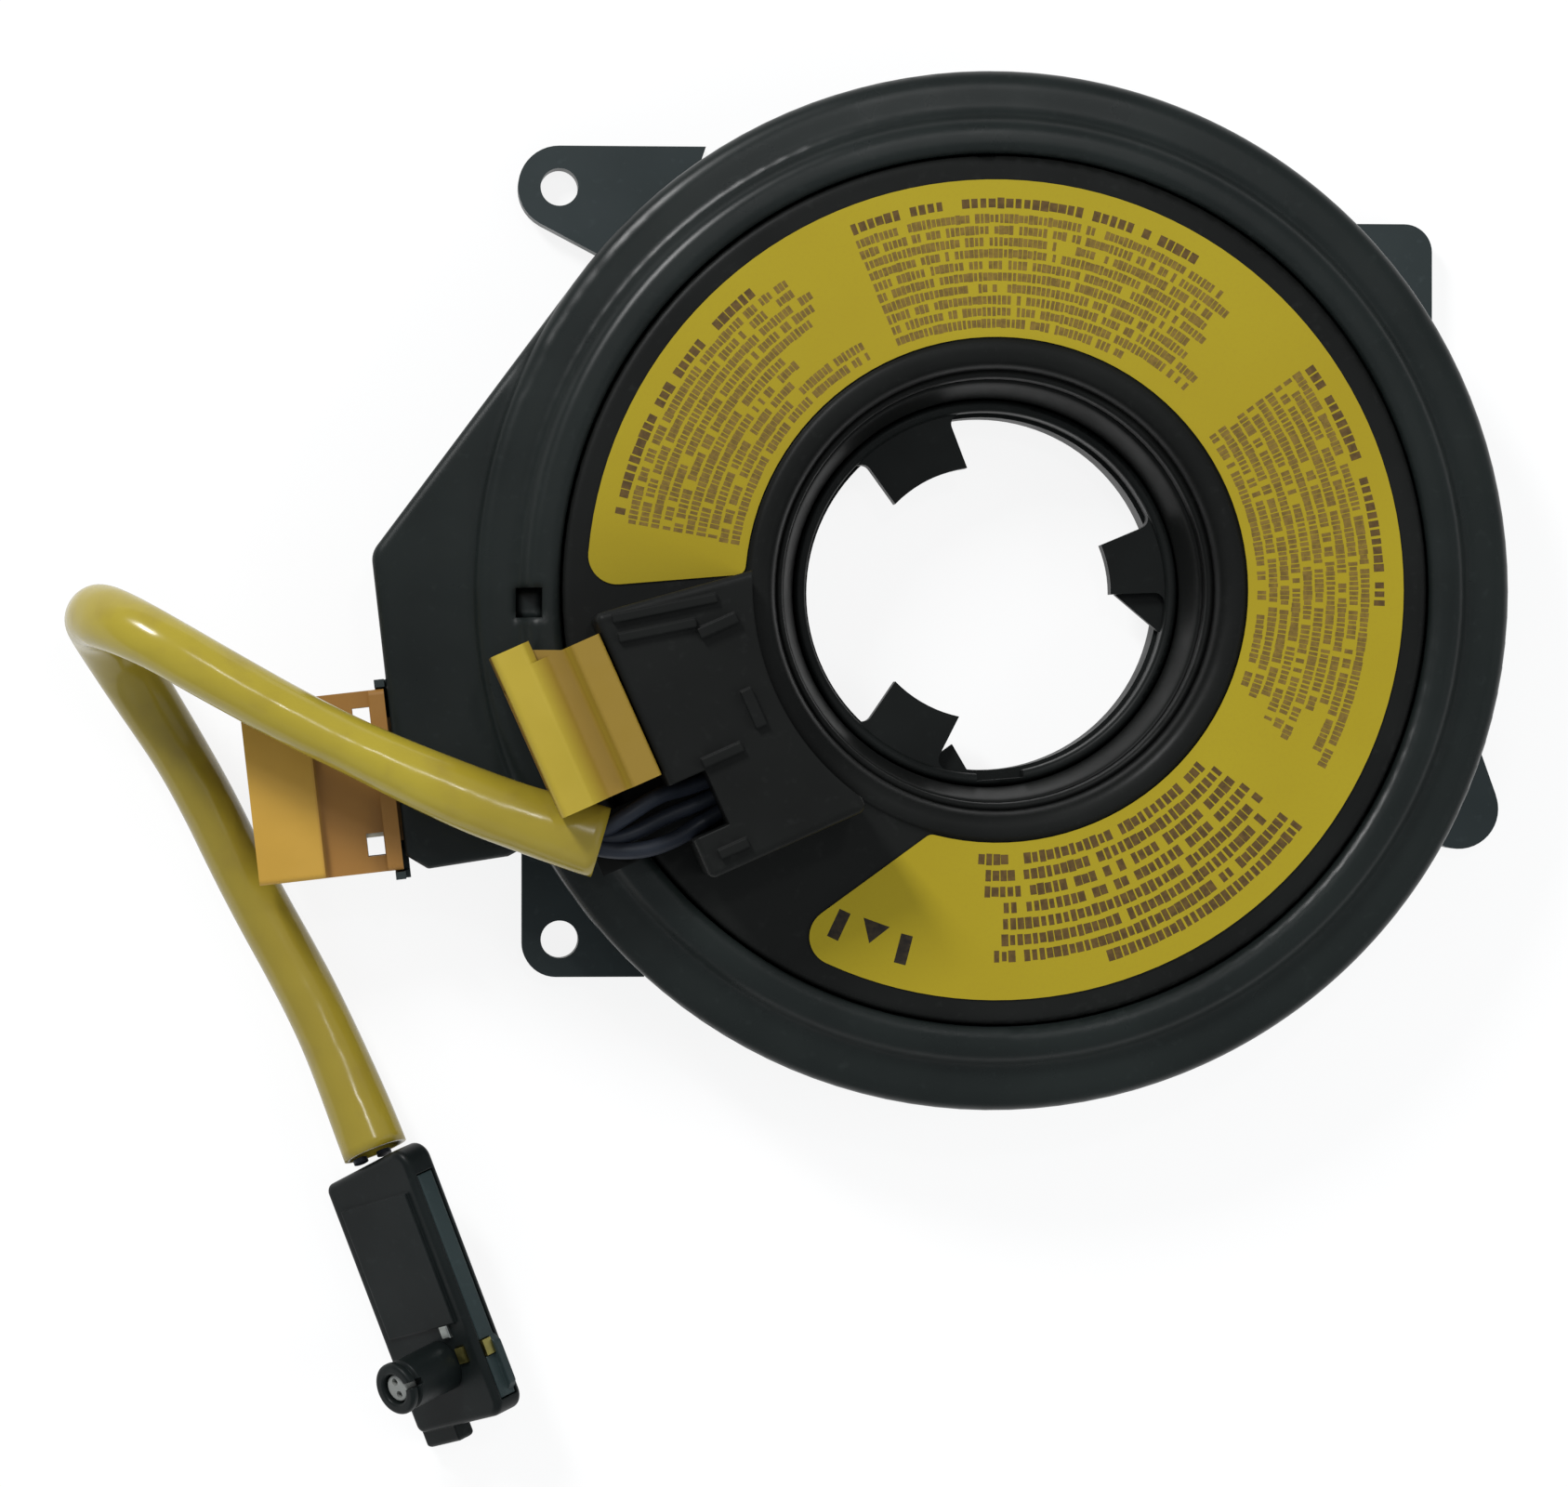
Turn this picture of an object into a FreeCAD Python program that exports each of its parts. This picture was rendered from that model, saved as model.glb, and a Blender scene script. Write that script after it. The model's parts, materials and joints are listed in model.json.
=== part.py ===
# Steering clock spring: a fixed round housing with a connector wedge, a rotor that turns with the
# steering wheel, the flat cable wound between them, and the airbag lead with its plug.
# Millimetres. +Z points to the driver, the origin is on the hub's axis in the plane of the back.
import FreeCAD, Part
import os
from math import acos, atan2, cos, degrees, pi, radians, sin, tan

V = FreeCAD.Vector
up = V(0, 0, 1)

# Heights of the housing
floor_t = 2.2
seam_z = 10.5
wedge_top = 16.5
shelf_z = 18.0
ring_top = 20.0
roof_t = 1.6
ceiling_z = 16.3

# Radii of the housing
case_r = 54.3
case_wall = 2.0
shelf_w = 4.4
ring_slope = 1.5
ring_w = 2.95
shelf_r = case_r - shelf_w
ring_r_out = shelf_r - ring_slope
cover_r_in = ring_r_out - ring_w
edge_round = 1.6
spigot_gap = 0.15
spigot_t = 1.25
spigot_depth = 1.4

# Hub: its bore, the sleeve round it and the flange that turns in the housing's back
hub_r = 18.8
bore_depth = 4.6
bore_step = 0.4
hub_wall = 1.2
hub_fit = 0.2
collar_r_in = hub_r + bore_step + hub_wall + hub_fit
journal_step = 1.4
hub_journal_r = collar_r_in + journal_step
flange_w = 4.0
hub_flange_r = hub_journal_r + flange_w

# Opening in the back of the housing, where the hub's flange sits
journal_gap = 0.4
flange_gap = 1.0
back_hole_r = hub_journal_r + journal_gap
recess_r = hub_flange_r + flange_gap
recess_z = 1.8
step_w = 2.0
step_r = recess_r + step_w
step_z = 3.6

# Ears and locating lugs
ear_t = 3.2
ear_hole_r = 2.0
high_ear_deg = 136.17
high_ear_reach = 8.08
low_ear_deg = 219.275
low_ear_reach = 3.83
ear_round = 4.4
ear_edge = 4.0
lug_deg = 39.26
lug_reach = 8.6
lug_corner_round = 3.0
low_lug_deg = -24.03
low_lug_reach = 2.2
low_lug_round = 4.3

# Connector wedge on the left of the housing
wedge_wall = 1.8
wedge_reach = 9.75
wedge_tip_b = -11.12
wedge_tip_round = 2.5
wedge_low_b = 20.48
wedge_toe_b = 22.13
wedge_toe_back = 2.15
wedge_heel_b = 21.78
wedge_heel_back = 10.54
window_inset = 5.7
window_y = -1.4
window_w = 2.7
window_h = 3.1
window_depth = 1.2

# Column side socket, in a frame whose x runs out of the wedge's left wall
socket_deg = 186.5
wedge_wall_a = case_r + wedge_reach
socket_seat = 0.35
socket_l = 15.0
socket_face = wedge_wall_a + socket_seat
socket_mouth = socket_face + socket_l
socket_b0 = 3.0
socket_b1 = 21.9
socket_z0 = 8.6
socket_z1 = 16.2
socket_wall = 1.3
socket_back_t = 1.6
socket_band = 6.9
socket_step = 1.4
socket_slot_w = 2.4
socket_slot_l = 1.8
socket_slot_edge = 1.7
boss_side = 3.0
boss_z0 = 9.9
boss_z1 = 14.3
boss_reach = 2.6
fit_gap = 0.2
frame_t = 0.8
frame_l = 0.9

# Rotor
rotor_gap = 0.25
disc_r = cover_r_in - rotor_gap
disc_top = 19.5
disc_t = 1.8
skirt_t = 1.8
lip_w = 2.8
lip_r = disc_r + lip_w
lip_z0 = 14.6
lip_t = 1.2
collar_wall = 1.6
funnel_w = 3.0
rim_w = 2.5
funnel_r = collar_r_in + funnel_w
rim_r = funnel_r + rim_w
rim_top = 20.1
funnel_z = 9.0

# Heights of the hub sleeve and its three driving tabs
hub_flange_z0 = 0.3
hub_flange_t = 1.1
hub_step_z = 4.2
hub_lip_z = 8.6
tab_l = 5.4
tab_tip_r = hub_r - tab_l
tab_z0 = 5.0
tab_t = 2.6
tab_root_round = 1.1
# Of each tab: where its two corners are and which way the sides run out from them
tab_sides = (
    (98.2, 110.8, 135.5, 125.8),
    (-0.5, 2.0, 22.4, 22.8),
    (224.5, 235.5, 258.1, 243.0),
)
tab_lug_t = 1.2
notch_deg = 274.5
notch_w = 5.0
notch_depth = 0.6

# Face label
label_gap = 0.2
label_edge = 2.55
label_r_in = rim_r + label_gap
label_r_out = disc_r - label_edge
label_t = 0.2
label_start_in_deg = 176.6
label_start_out_deg = 179.7
label_end_in_deg = 254.6
label_end_out_deg = 238.6
label_corner = 3.0
label_inner_corner = 1.0

# Flat cable between rotor and housing
ribbon_t = 0.35
ribbon_z0 = 3.9
ribbon_h = 10.4
ribbon_inner_gap = 3.4
ribbon_outer_gap = 2.0
ribbon_r_in = collar_r_in + collar_wall + ribbon_inner_gap
ribbon_r_end = case_r - case_wall - ribbon_outer_gap
ribbon_half_turns = 15
ribbon_start_deg = 219.0
ribbon_switch_deg = 350.0
ribbon_stop = 0.46
ribbon_slot = 1.4
slip_t = 0.25
slip_gap = 0.4

# Tower on the rotor, in a frame whose x runs out through the tower
tower_deg = 204.0
tower_overlap = 0.5
tower_l = 14.4
tower_u0 = rim_r - tower_overlap
tower_u1 = tower_u0 + tower_l
tower_v0 = -14.6
tower_v1 = 14.8
tower_slant = 3.2
tower_clear = 0.5
tower_top = 33.0
tower_wall = 1.6
tower_round = 0.8
trough_l = 4.0
trough_u = tower_u1 - trough_l
trough_v0 = 4.4
trough_v1 = 10.4
trough_floor = 22.0
tray_l = 9.5
tray_u = tower_u1 + tray_l
tray_t = 1.3
rail_w = 0.9
rail_h = 0.7

# Switch socket on the tower
switch_gap = 0.2
switch_l = 11.0
switch_u1 = tower_u1 + switch_gap + switch_l
switch_v0 = -12.6
switch_v1 = 3.0
switch_z0 = 20.8
switch_valley = 31.2
switch_wall = 1.4
switch_back_t = 1.6
switch_lip_l = 4.2
switch_lip_v0 = -14.8
switch_band_l = 3.1
switch_room_v1 = -0.3

# Pins of both sockets
pin_w = 0.64
pin_gap = 0.05
column_pin_count = 6
column_pin_pitch = 2.2
column_pin_free = 6.0
switch_pin_count = 4
switch_pin_pitch = 2.5
switch_pin_free = 4.0

# Terminal blocks
inner_block_t = 2.0
inner_block_w = 12.0
inner_block_z0 = 5.0
inner_block_reach = 8.8
inner_block_arm_u = collar_r_in + collar_wall + inner_block_reach
inner_block_arm_z = 15.2
inner_block_top = 22.4
block_gap = 0.2
outer_block_gap = 2.2
outer_block_face = case_r + outer_block_gap
outer_block_t = 4.2
outer_block_b0 = 5.0
outer_block_b1 = 19.0

# Airbag lead: its sleeve's centreline, from the tower to the plug
sleeve_d = 6.4
arc_share = 0.45
lead_route = [
    V(-41.4, -26.1, 25.5),
    V(-50.0, -23.6, 25.4),
    V(-60.6, -19.2, 25.0),
    V(-71.5, -14.0, 24.8),
    V(-80.2, -9.2, 25.2),
    V(-87.6, -4.9, 25.0),
    V(-93.4, -2.4, 19.2),
    V(-93.4, -3.6, 10.0),
    V(-90.0, -9.2, 3.4),
    V(-83.4, -19.6, 3.3),
    V(-77.9, -31.0, 3.3),
    V(-71.8, -41.9, 3.3),
    V(-67.6, -51.0, 4.3),
    V(-64.5, -59.0, 6.2),
]
sleeve_notch = 0.55
wire_d = 1.5
wire_count = 3
wire_pitch = 1.75
wire_z = 24.6
wire_inside = 1.2

# Airbag plug, in a frame whose x runs along it and whose z is its main face's normal
plug_deg = -69.3
plug_roll = 48.0
plug_gap = 1.9
plug_shift = -0.5
plug_l = 28.2
plug_w = 14.0
plug_t = 3.8
plug_slant = 1.8
plug_corner = 1.8
plug_round = 0.7
plug_cover_t = 1.0
plug_cover_l = 25.0
plug_wall = 1.1
hump_x0 = 19.6
hump_x1 = 26.4
hump_h = 0.6
nose_at = 21.6
nose_y = 0.95
nose_d = 5.4
nose_l = 7.4
nose_flange = 0.9
nose_bore = 1.6
nose_bore_l = 3.2
contact_w = 1.2
contact_l = 1.7
contact_depth = 0.9
contact_edge = 2.5
clip_w = 5.2
clip_l = 1.8
plug_wire_d = 1.6
plug_wire_pitch = 2.6
ferrite_l = 9.0


# Small tools: points, rounded outlines and the solids made from them


def polar(r, deg, z=0.0):
    return V(r * cos(radians(deg)), r * sin(radians(deg)), z)


def block(x0, x1, y0, y1, z0, z1):
    return Part.makeBox(x1 - x0, y1 - y0, z1 - z0, V(x0, y0, z0))


def disc(r, z0, z1, x=0.0, y=0.0):
    return Part.makeCylinder(r, z1 - z0, V(x, y, z0))


def rounded_wire(corners, place):
    # Each corner is two coordinates and the radius of its rounding
    points = [place(a, b) for a, b, _ in corners]
    arcs = []
    for i, (_, _, radius) in enumerate(corners):
        here = points[i]
        if radius == 0:
            arcs.append((here, None, here))
            continue
        back = (points[i - 1] - here).normalize()
        ahead = (points[(i + 1) % len(points)] - here).normalize()
        half = back.getAngle(ahead) / 2
        reach = radius / tan(half)
        middle = (back + ahead).normalize()
        crown = here + middle * (radius / sin(half) - radius)
        arcs.append((here + back * reach, crown, here + ahead * reach))
    edges = []
    for i, (start, crown, end) in enumerate(arcs):
        if crown:
            edges.append(Part.Arc(start, crown, end).toShape())
        following = arcs[(i + 1) % len(arcs)][0]
        if end.distanceToPoint(following) > 1e-6:
            edges.append(Part.makeLine(end, following))
    return Part.Wire(edges)


def prism(corners, z0, z1):
    face = Part.Face(rounded_wire(corners, lambda x, y: V(x, y, z0)))
    return face.extrude(V(0, 0, z1 - z0))


def turned(corners):
    face = Part.Face(rounded_wire(corners, lambda r, z: V(r, 0, z)))
    return face.revolve(V(0, 0, 0), up, 360)


def side_prism(corners, y0, y1):
    # An outline in x and z, drawn out along y
    face = Part.Face(rounded_wire(corners, lambda x, z: V(x, y0, z)))
    return face.extrude(V(0, y1 - y0, 0))


def soften(solid, radius, wanted):
    return solid.makeFillet(radius, [edge for edge in solid.Edges if wanted(edge)])


def upright(edge):
    first, last = edge.Vertexes[0].Point, edge.Vertexes[-1].Point
    return abs(first.x - last.x) + abs(first.y - last.y) < 1e-6 < abs(first.z - last.z)


def level_at(z):
    return lambda edge: all(abs(v.Z - z) < 1e-6 for v in edge.Vertexes)


def spun(shape, deg):
    turned_copy = shape.copy()
    turned_copy.rotate(V(0, 0, 0), up, deg)
    return turned_copy


def merged(first, *others):
    return first.fuse(list(others)).removeSplitter()


def tube(route, diameter):
    # Straight runs joined by tangent arcs, as large as the shorter run at each point allows
    edges = []
    radii = []
    start = route[0]
    for before, corner, after in zip(route, route[1:], route[2:]):
        back = before - corner
        ahead = after - corner
        reach = arc_share * min(back.Length, ahead.Length)
        half_turn = (pi - back.getAngle(ahead)) / 2
        radius = reach / tan(half_turn)
        radii.append(radius)
        back.normalize()
        ahead.normalize()
        middle = (back + ahead).normalize()
        crown = corner + middle * (radius / cos(half_turn) - radius)
        edges.append(Part.makeLine(start, corner + back * reach))
        edges.append(Part.Arc(corner + back * reach, crown, corner + ahead * reach).toShape())
        start = corner + ahead * reach
    edges.append(Part.makeLine(start, route[-1]))
    path = Part.Wire(edges)
    ring = Part.makeCircle(diameter / 2, route[0], route[1] - route[0])
    solid = path.makePipeShell([Part.Wire(ring)], True, False)
    return solid, path.Length, radii


# Housing


def socket_point(a, b):
    # A point in the column socket's frame, seen from the hub's axis
    return polar(a, socket_deg) + polar(b, socket_deg + 90)


def wedge_face(z):
    # Its upper edge leaves the round case as a tangent, and its left wall is square to the socket
    tip = socket_point(wedge_wall_a, wedge_tip_b)
    low = socket_point(wedge_wall_a, wedge_low_b)
    toe = socket_point(wedge_wall_a - wedge_toe_back, wedge_toe_b)
    heel = socket_point(wedge_wall_a - wedge_heel_back, wedge_heel_b)
    tip_deg = degrees(atan2(tip.y, tip.x))
    touch = polar(case_r, tip_deg - degrees(acos(case_r / tip.Length)))
    corners = [
        (touch.x, touch.y, 0),
        (tip.x, tip.y, wedge_tip_round),
        (low.x, low.y, 0.6),
        (toe.x, toe.y, 0.6),
        (heel.x, heel.y, 0),
        (heel.x / 2, heel.y / 2, 0),
        (touch.x / 2, touch.y / 2, 0),
    ]
    return Part.Face(rounded_wire(corners, lambda x, y: V(x, y, z)))


def wedge_solid(z0, z1):
    return wedge_face(z0).extrude(V(0, 0, z1 - z0))


def wedge_room(z0, z1):
    # The inside of the wedge, outside the wall of the round chamber
    room = wedge_face(z0).makeOffset2D(-wedge_wall).extrude(V(0, 0, z1 - z0))
    return room.cut(disc(case_r, z0, z1))


def socket_frame():
    # A rim on the wedge's left wall that the column socket's root sits in
    b0 = socket_b0 - fit_gap
    b1 = socket_b1 + fit_gap
    z0 = socket_z0 - fit_gap
    root = wedge_wall_a - 0.3
    tip = socket_face + frame_l
    rim = block(root, tip, b0 - frame_t, b1 + frame_t, z0 - frame_t, wedge_top - 0.5)
    rim = rim.cut(block(root - 1, tip + 1, b0, b1, z0, wedge_top))
    # Above the seam it stands free of the upper cover's wall
    rim = rim.cut(block(root - 1, wedge_wall_a + fit_gap, b0 - 9, b1 + 9, seam_z, wedge_top))
    return spun(rim, socket_deg)


def boss_window():
    b0 = socket_b0 + boss_side - fit_gap
    b1 = socket_b1 - boss_side + fit_gap
    x0 = socket_face - boss_reach - 2 * wedge_wall
    window = block(x0, socket_face + frame_l, b0, b1, boss_z0 - fit_gap, boss_z1 + fit_gap)
    return spun(window, socket_deg)


def ribbon_exit():
    # Where the flat cable's last turn leaves it as a tangent, and the direction it goes
    end_deg = ribbon_switch_deg + 180.0 * ribbon_half_turns
    return polar(ribbon_r_end, end_deg), polar(1.0, end_deg + 90.0)


def ribbon_tail():
    # How far it then runs straight, to just short of the outer terminal block
    start, along = ribbon_exit()
    out = polar(1.0, socket_deg)
    return (outer_block_face - ribbon_stop - start.dot(out)) / along.dot(out)


def ribbon_window():
    start, along = ribbon_exit()
    window = block(0, ribbon_tail() + 1.0, -ribbon_slot / 2, ribbon_slot / 2, floor_t, ceiling_z - 1.4)
    window.rotate(V(0, 0, 0), up, degrees(atan2(along.y, along.x)))
    window.translate(start)
    return window


def ear_centres():
    return polar(case_r + high_ear_reach, high_ear_deg), polar(case_r + low_ear_reach, low_ear_deg)


def screw_ears():
    high, low = ear_centres()
    flat_top = high.y + ear_round
    top_web = [
        (high.x, flat_top, 0),
        (high.x - 0.5 * ear_round, high.y - 0.87 * ear_round, 0),
        (high.x + 5.0, high.y - 7.6, 0),
        (high.x + 12.0, high.y - 6.0, 0),
        (high.x + 15.6, flat_top, 0),
    ]
    low_web = [
        (low.x - ear_edge, low.y - ear_edge, 3.6),
        (low.x - ear_edge, low.y + 11.0, 0),
        (low.x + 9.0, low.y + 11.0, 0),
        (low.x + 9.0, low.y - ear_edge, 0),
    ]
    ears = disc(ear_round, 0, ear_t, high.x, high.y)
    return ears.fuse([prism(top_web, 0, ear_t), prism(low_web, 0, ear_t)])


def ear_holes():
    high, low = ear_centres()
    holes = disc(ear_hole_r, -1, ear_t + 1, low.x, low.y)
    return holes.fuse(disc(ear_hole_r, -1, ear_t + 1, high.x, high.y))


def plain_lugs():
    corner = polar(case_r + lug_reach, lug_deg)
    square = [
        (corner.x, corner.y, lug_corner_round),
        (corner.x, 0.55 * corner.y, 0),
        (0.75 * corner.x, 0.55 * corner.y, 0),
        (0.75 * corner.x, corner.y, 0),
    ]
    low = polar(case_r + low_lug_reach, low_lug_deg)
    web = [
        (low.x + 4.05, low.y + 1.5, 0),
        (low.x + 1.2, low.y + 9.5, 0),
        (low.x - 8.0, low.y + 3.0, 0),
        (low.x - 6.0, low.y - 5.0, 0),
        (low.x - 2.0, low.y - 3.8, 0),
    ]
    tip = disc(low_lug_round, 0, ear_t, low.x, low.y)
    return prism(square, 0, ear_t).fuse([prism(web, 0, ear_t), tip])


def lower_case():
    inner_r = case_r - case_wall
    tray = turned([
        (recess_r, 0, 0.3),
        (case_r, 0, 0.8),
        (case_r, seam_z, 0),
        (inner_r, seam_z, 0),
        (inner_r, floor_t, 0.8),
        (step_r, floor_t, 0),
        (step_r, step_z, 0.4),
        (back_hole_r, step_z, 0.2),
        (back_hole_r, recess_z, 0),
        (recess_r, recess_z, 0),
    ])
    wedge = wedge_solid(0, seam_z).cut(disc(inner_r + case_wall / 2, -1, seam_z + 1))
    body = tray.fuse([wedge, screw_ears().cut(disc(inner_r + case_wall / 2, -1, seam_z)),
                      plain_lugs().cut(disc(inner_r + case_wall / 2, -1, seam_z))])
    body = body.fuse(socket_frame())
    body = body.cut([wedge_room(floor_t, seam_z + 1), ear_holes(), boss_window(), ribbon_window()])
    return body.removeSplitter()


def upper_cover():
    inner_r = case_r - case_wall
    spigot_r = inner_r - spigot_gap
    ring = turned([
        (case_r, seam_z, 0),
        (case_r, shelf_z, edge_round),
        (shelf_r, shelf_z, 0.8),
        (ring_r_out, ring_top, 1.2),
        (cover_r_in, ring_top, 0.8),
        (cover_r_in, lip_z0 + lip_t + 0.3, 0),
        (cover_r_in + roof_t, lip_z0 + lip_t + 0.3, 0),
        (cover_r_in + roof_t, ceiling_z + 0.1, 0),
        (inner_r, ceiling_z + 0.1, 0.6),
        (inner_r, seam_z + 3.2, 0),
        (spigot_r - spigot_t, seam_z + 1.8, 0),
        (spigot_r - spigot_t, seam_z - spigot_depth, 0),
        (spigot_r, seam_z - spigot_depth, 0),
        (spigot_r, seam_z, 0),
    ])
    wedge = soften(wedge_solid(seam_z, wedge_top), 0.7, level_at(wedge_top))
    wedge = wedge.cut(disc(case_r - case_wall / 2, seam_z - 1, ring_top))
    cover = ring.fuse(wedge)
    window_x = window_inset - case_r
    window = block(window_x - window_w / 2, window_x + window_w / 2,
                   window_y - window_h / 2, window_y + window_h / 2,
                   shelf_z - window_depth, ring_top)
    room = wedge_room(seam_z - 1, wedge_top - roof_t)
    return cover.cut([room, boss_window(), ribbon_window(), window]).removeSplitter()


def slip_sheet():
    outer_r = case_r - case_wall - 1.2
    ring = disc(outer_r, floor_t, floor_t + slip_t)
    return ring.cut(disc(step_r + slip_gap, floor_t - 1, floor_t + 1))


# Column side


def pin_offsets(count, pitch, middle):
    return [middle + (i - (count - 1) / 2) * pitch for i in range(count)]


def column_pin_set(grow):
    middle_b = (socket_b0 + socket_b1) / 2
    middle_z = (boss_z0 + boss_z1) / 2
    half = pin_w / 2 + grow
    x0 = outer_block_face + outer_block_t - grow
    x1 = socket_face + socket_back_t + column_pin_free + grow
    pins = []
    for b in pin_offsets(column_pin_count, column_pin_pitch, middle_b):
        pins.append(spun(block(x0, x1, b - half, b + half, middle_z - half, middle_z + half),
                         socket_deg))
    return Part.makeCompound(pins)


def column_socket():
    shell = block(socket_face, socket_mouth, socket_b0, socket_b1, socket_z0, socket_z1)
    shell = soften(shell, 0.6, lambda e: abs(e.Vertexes[0].X - e.Vertexes[-1].X) > 1)
    room_x = socket_face + socket_back_t
    band_x = socket_mouth - socket_band
    low_top = socket_z1 - socket_step
    room = block(room_x, socket_mouth + 1, socket_b0 + socket_wall, socket_b1 - socket_wall,
                 socket_z0 + socket_wall, low_top - 1.1)
    high_room = block(band_x + 1.0, socket_mouth + 1, socket_b0 + socket_wall,
                      socket_b1 - socket_wall, low_top - 2, socket_z1 - socket_wall)
    step = block(room_x, band_x, socket_b0 - 1, socket_b1 + 1, low_top, socket_z1 + 1)
    boss = block(socket_face - boss_reach, socket_face, socket_b0 + boss_side,
                 socket_b1 - boss_side, boss_z0, boss_z1)
    slots = []
    for b in (socket_b0 + socket_slot_edge, socket_b1 - socket_slot_edge - socket_slot_w):
        slots.append(block(room_x + 0.1, room_x + 0.1 + socket_slot_l, b,
                           b + socket_slot_w, socket_z0 - 1, socket_z1 + 1))
    for cutter in [room, high_room, step] + slots:
        shell = shell.cut(cutter)
    shell = shell.fuse(boss)
    return spun(shell, socket_deg).cut(column_pin_set(pin_gap)).removeSplitter()


def outer_terminal_block():
    body = block(outer_block_face, outer_block_face + outer_block_t, outer_block_b0,
                 outer_block_b1, floor_t, wedge_top - roof_t - 0.3)
    body = soften(body, 0.5, upright)
    return spun(body, socket_deg)


# Flat cable


def ribbon_cable():
    pitch = (ribbon_r_end - ribbon_r_in) / ((ribbon_half_turns + 1) / 2)
    far_centre = polar(-pitch / 2, ribbon_switch_deg)
    sides = ([], [])
    for k in range(ribbon_half_turns + 1):
        centre = V(0, 0, 0) if k % 2 == 0 else far_centre
        radius = ribbon_r_in + k * pitch / 2
        finish = ribbon_switch_deg + 180.0 * k
        begin = ribbon_start_deg if k == 0 else finish - 180.0
        for edges, offset in zip(sides, (ribbon_t / 2, -ribbon_t / 2)):
            points = [centre + polar(radius + offset, a)
                      for a in (begin, (begin + finish) / 2, finish)]
            edges.append((points[0], Part.Arc(*points).toShape(), points[2]))
    start, along = ribbon_exit()
    outside, inside = sides
    tail_out = outside[-1][2] + along * ribbon_tail()
    tail_in = inside[-1][2] + along * ribbon_tail()
    edges = [edge for _, edge, _ in outside]
    edges.append(Part.makeLine(outside[-1][2], tail_out))
    edges.append(Part.makeLine(tail_out, tail_in))
    edges.append(Part.makeLine(tail_in, inside[-1][2]))
    edges.extend(edge for _, edge, _ in reversed(inside))
    edges.append(Part.makeLine(inside[0][0], outside[0][0]))
    face = Part.Face(Part.Wire(edges))
    face.translate(V(0, 0, ribbon_z0))
    return face.extrude(V(0, 0, ribbon_h))


# Rotor


def rotor_disc():
    collar_r = collar_r_in + collar_wall
    under = disc_top - disc_t
    body = turned([
        (collar_r_in, hub_step_z, 0.2),
        (collar_r, hub_step_z, 0.3),
        (collar_r, under, 0.8),
        (disc_r - skirt_t, under, 0.5),
        (disc_r - skirt_t, lip_z0, 0.2),
        (lip_r, lip_z0, 0.2),
        (lip_r, lip_z0 + lip_t, 0.2),
        (disc_r, lip_z0 + lip_t, 0),
        (disc_r, disc_top, 0.7),
        (rim_r, disc_top, 0.2),
        (rim_r - 0.3, rim_top, 0.4),
        (funnel_r, rim_top, 1.6),
        (collar_r_in, funnel_z, 1.5),
    ])
    half = inner_block_w / 2 + block_gap
    slot = block(inner_block_arm_u - inner_block_t - block_gap, inner_block_arm_u + block_gap,
                 -half, half, under - 1, disc_top + 1)
    return body.cut(spun(slot, tower_deg)).removeSplitter()


def tab_bar(first_deg, first_way, last_deg, last_way):
    first = polar(tab_tip_r, first_deg)
    last = polar(tab_tip_r, last_deg)
    corners = [first - polar(3, first_way), first + polar(9, first_way),
               last + polar(9, last_way), last - polar(3, last_way)]
    return prism([(p.x, p.y, 0) for p in corners], tab_z0 - 2, tab_z0 + tab_t + 2)


def hub_tabs():
    # A ring with three lobes cut out between the tabs, whose outer corners are rounded
    wall_r = hub_r + bore_step
    top = tab_z0 + tab_t
    ring = disc(wall_r + 0.5, tab_z0, top).cut(disc(tab_tip_r, tab_z0 - 1, top + 1))
    lobes = disc(wall_r, tab_z0 - 1, top + 1).cut(disc(tab_tip_r - 2, tab_z0 - 2, top + 2))
    for sides in tab_sides:
        lobes = lobes.cut(tab_bar(*sides))
    rounded = []
    for lobe in lobes.Solids:
        rounded.append(soften(lobe, tab_root_round, lambda e: upright(e) and
                              (e.Vertexes[0].X ** 2 + e.Vertexes[0].Y ** 2) ** 0.5 > hub_r - 1))
    return ring.cut(rounded)


def tab_lugs():
    # Two low webs beside the right and lower tabs
    wall_r = hub_r + bore_step + 0.4
    right = tab_sides[1][0] - 12.5
    corners = [polar(14.0, right + 12.5), polar(wall_r, right), polar(wall_r, right + 14.5)]
    beside_right = prism([(p.x, p.y, 0) for p in corners], tab_z0, tab_z0 + tab_lug_t)
    low = tab_sides[2][2] + 8.0
    corners = [polar(16.4, low - 8.0), polar(wall_r, low), polar(wall_r, low - 16.0)]
    beside_low = prism([(p.x, p.y, 0) for p in corners], tab_z0, tab_z0 + tab_lug_t)
    return [beside_right, beside_low]


def rotor_hub():
    sleeve_r = collar_r_in - hub_fit
    sleeve = turned([
        (hub_r, 0, 0),
        (collar_r_in, 0, 0.2),
        (collar_r_in, hub_flange_z0, 0),
        (hub_flange_r, hub_flange_z0, 0.3),
        (hub_flange_r, hub_flange_z0 + hub_flange_t, 0.3),
        (hub_journal_r, hub_flange_z0 + hub_flange_t, 0),
        (hub_journal_r, hub_step_z, 0.2),
        (sleeve_r, hub_step_z, 0),
        (sleeve_r, hub_lip_z, 0.5),
        (hub_r + bore_step, hub_lip_z, 0.6),
        (hub_r + bore_step, bore_depth, 0),
        (hub_r, bore_depth, 0),
    ])
    notch = block(hub_r - 1, hub_r + bore_step + notch_depth, -notch_w / 2, notch_w / 2,
                  tab_z0, hub_lip_z + 1)
    hub = merged(sleeve, hub_tabs(), *tab_lugs())
    return hub.cut(spun(notch, notch_deg)).removeSplitter()


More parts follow.
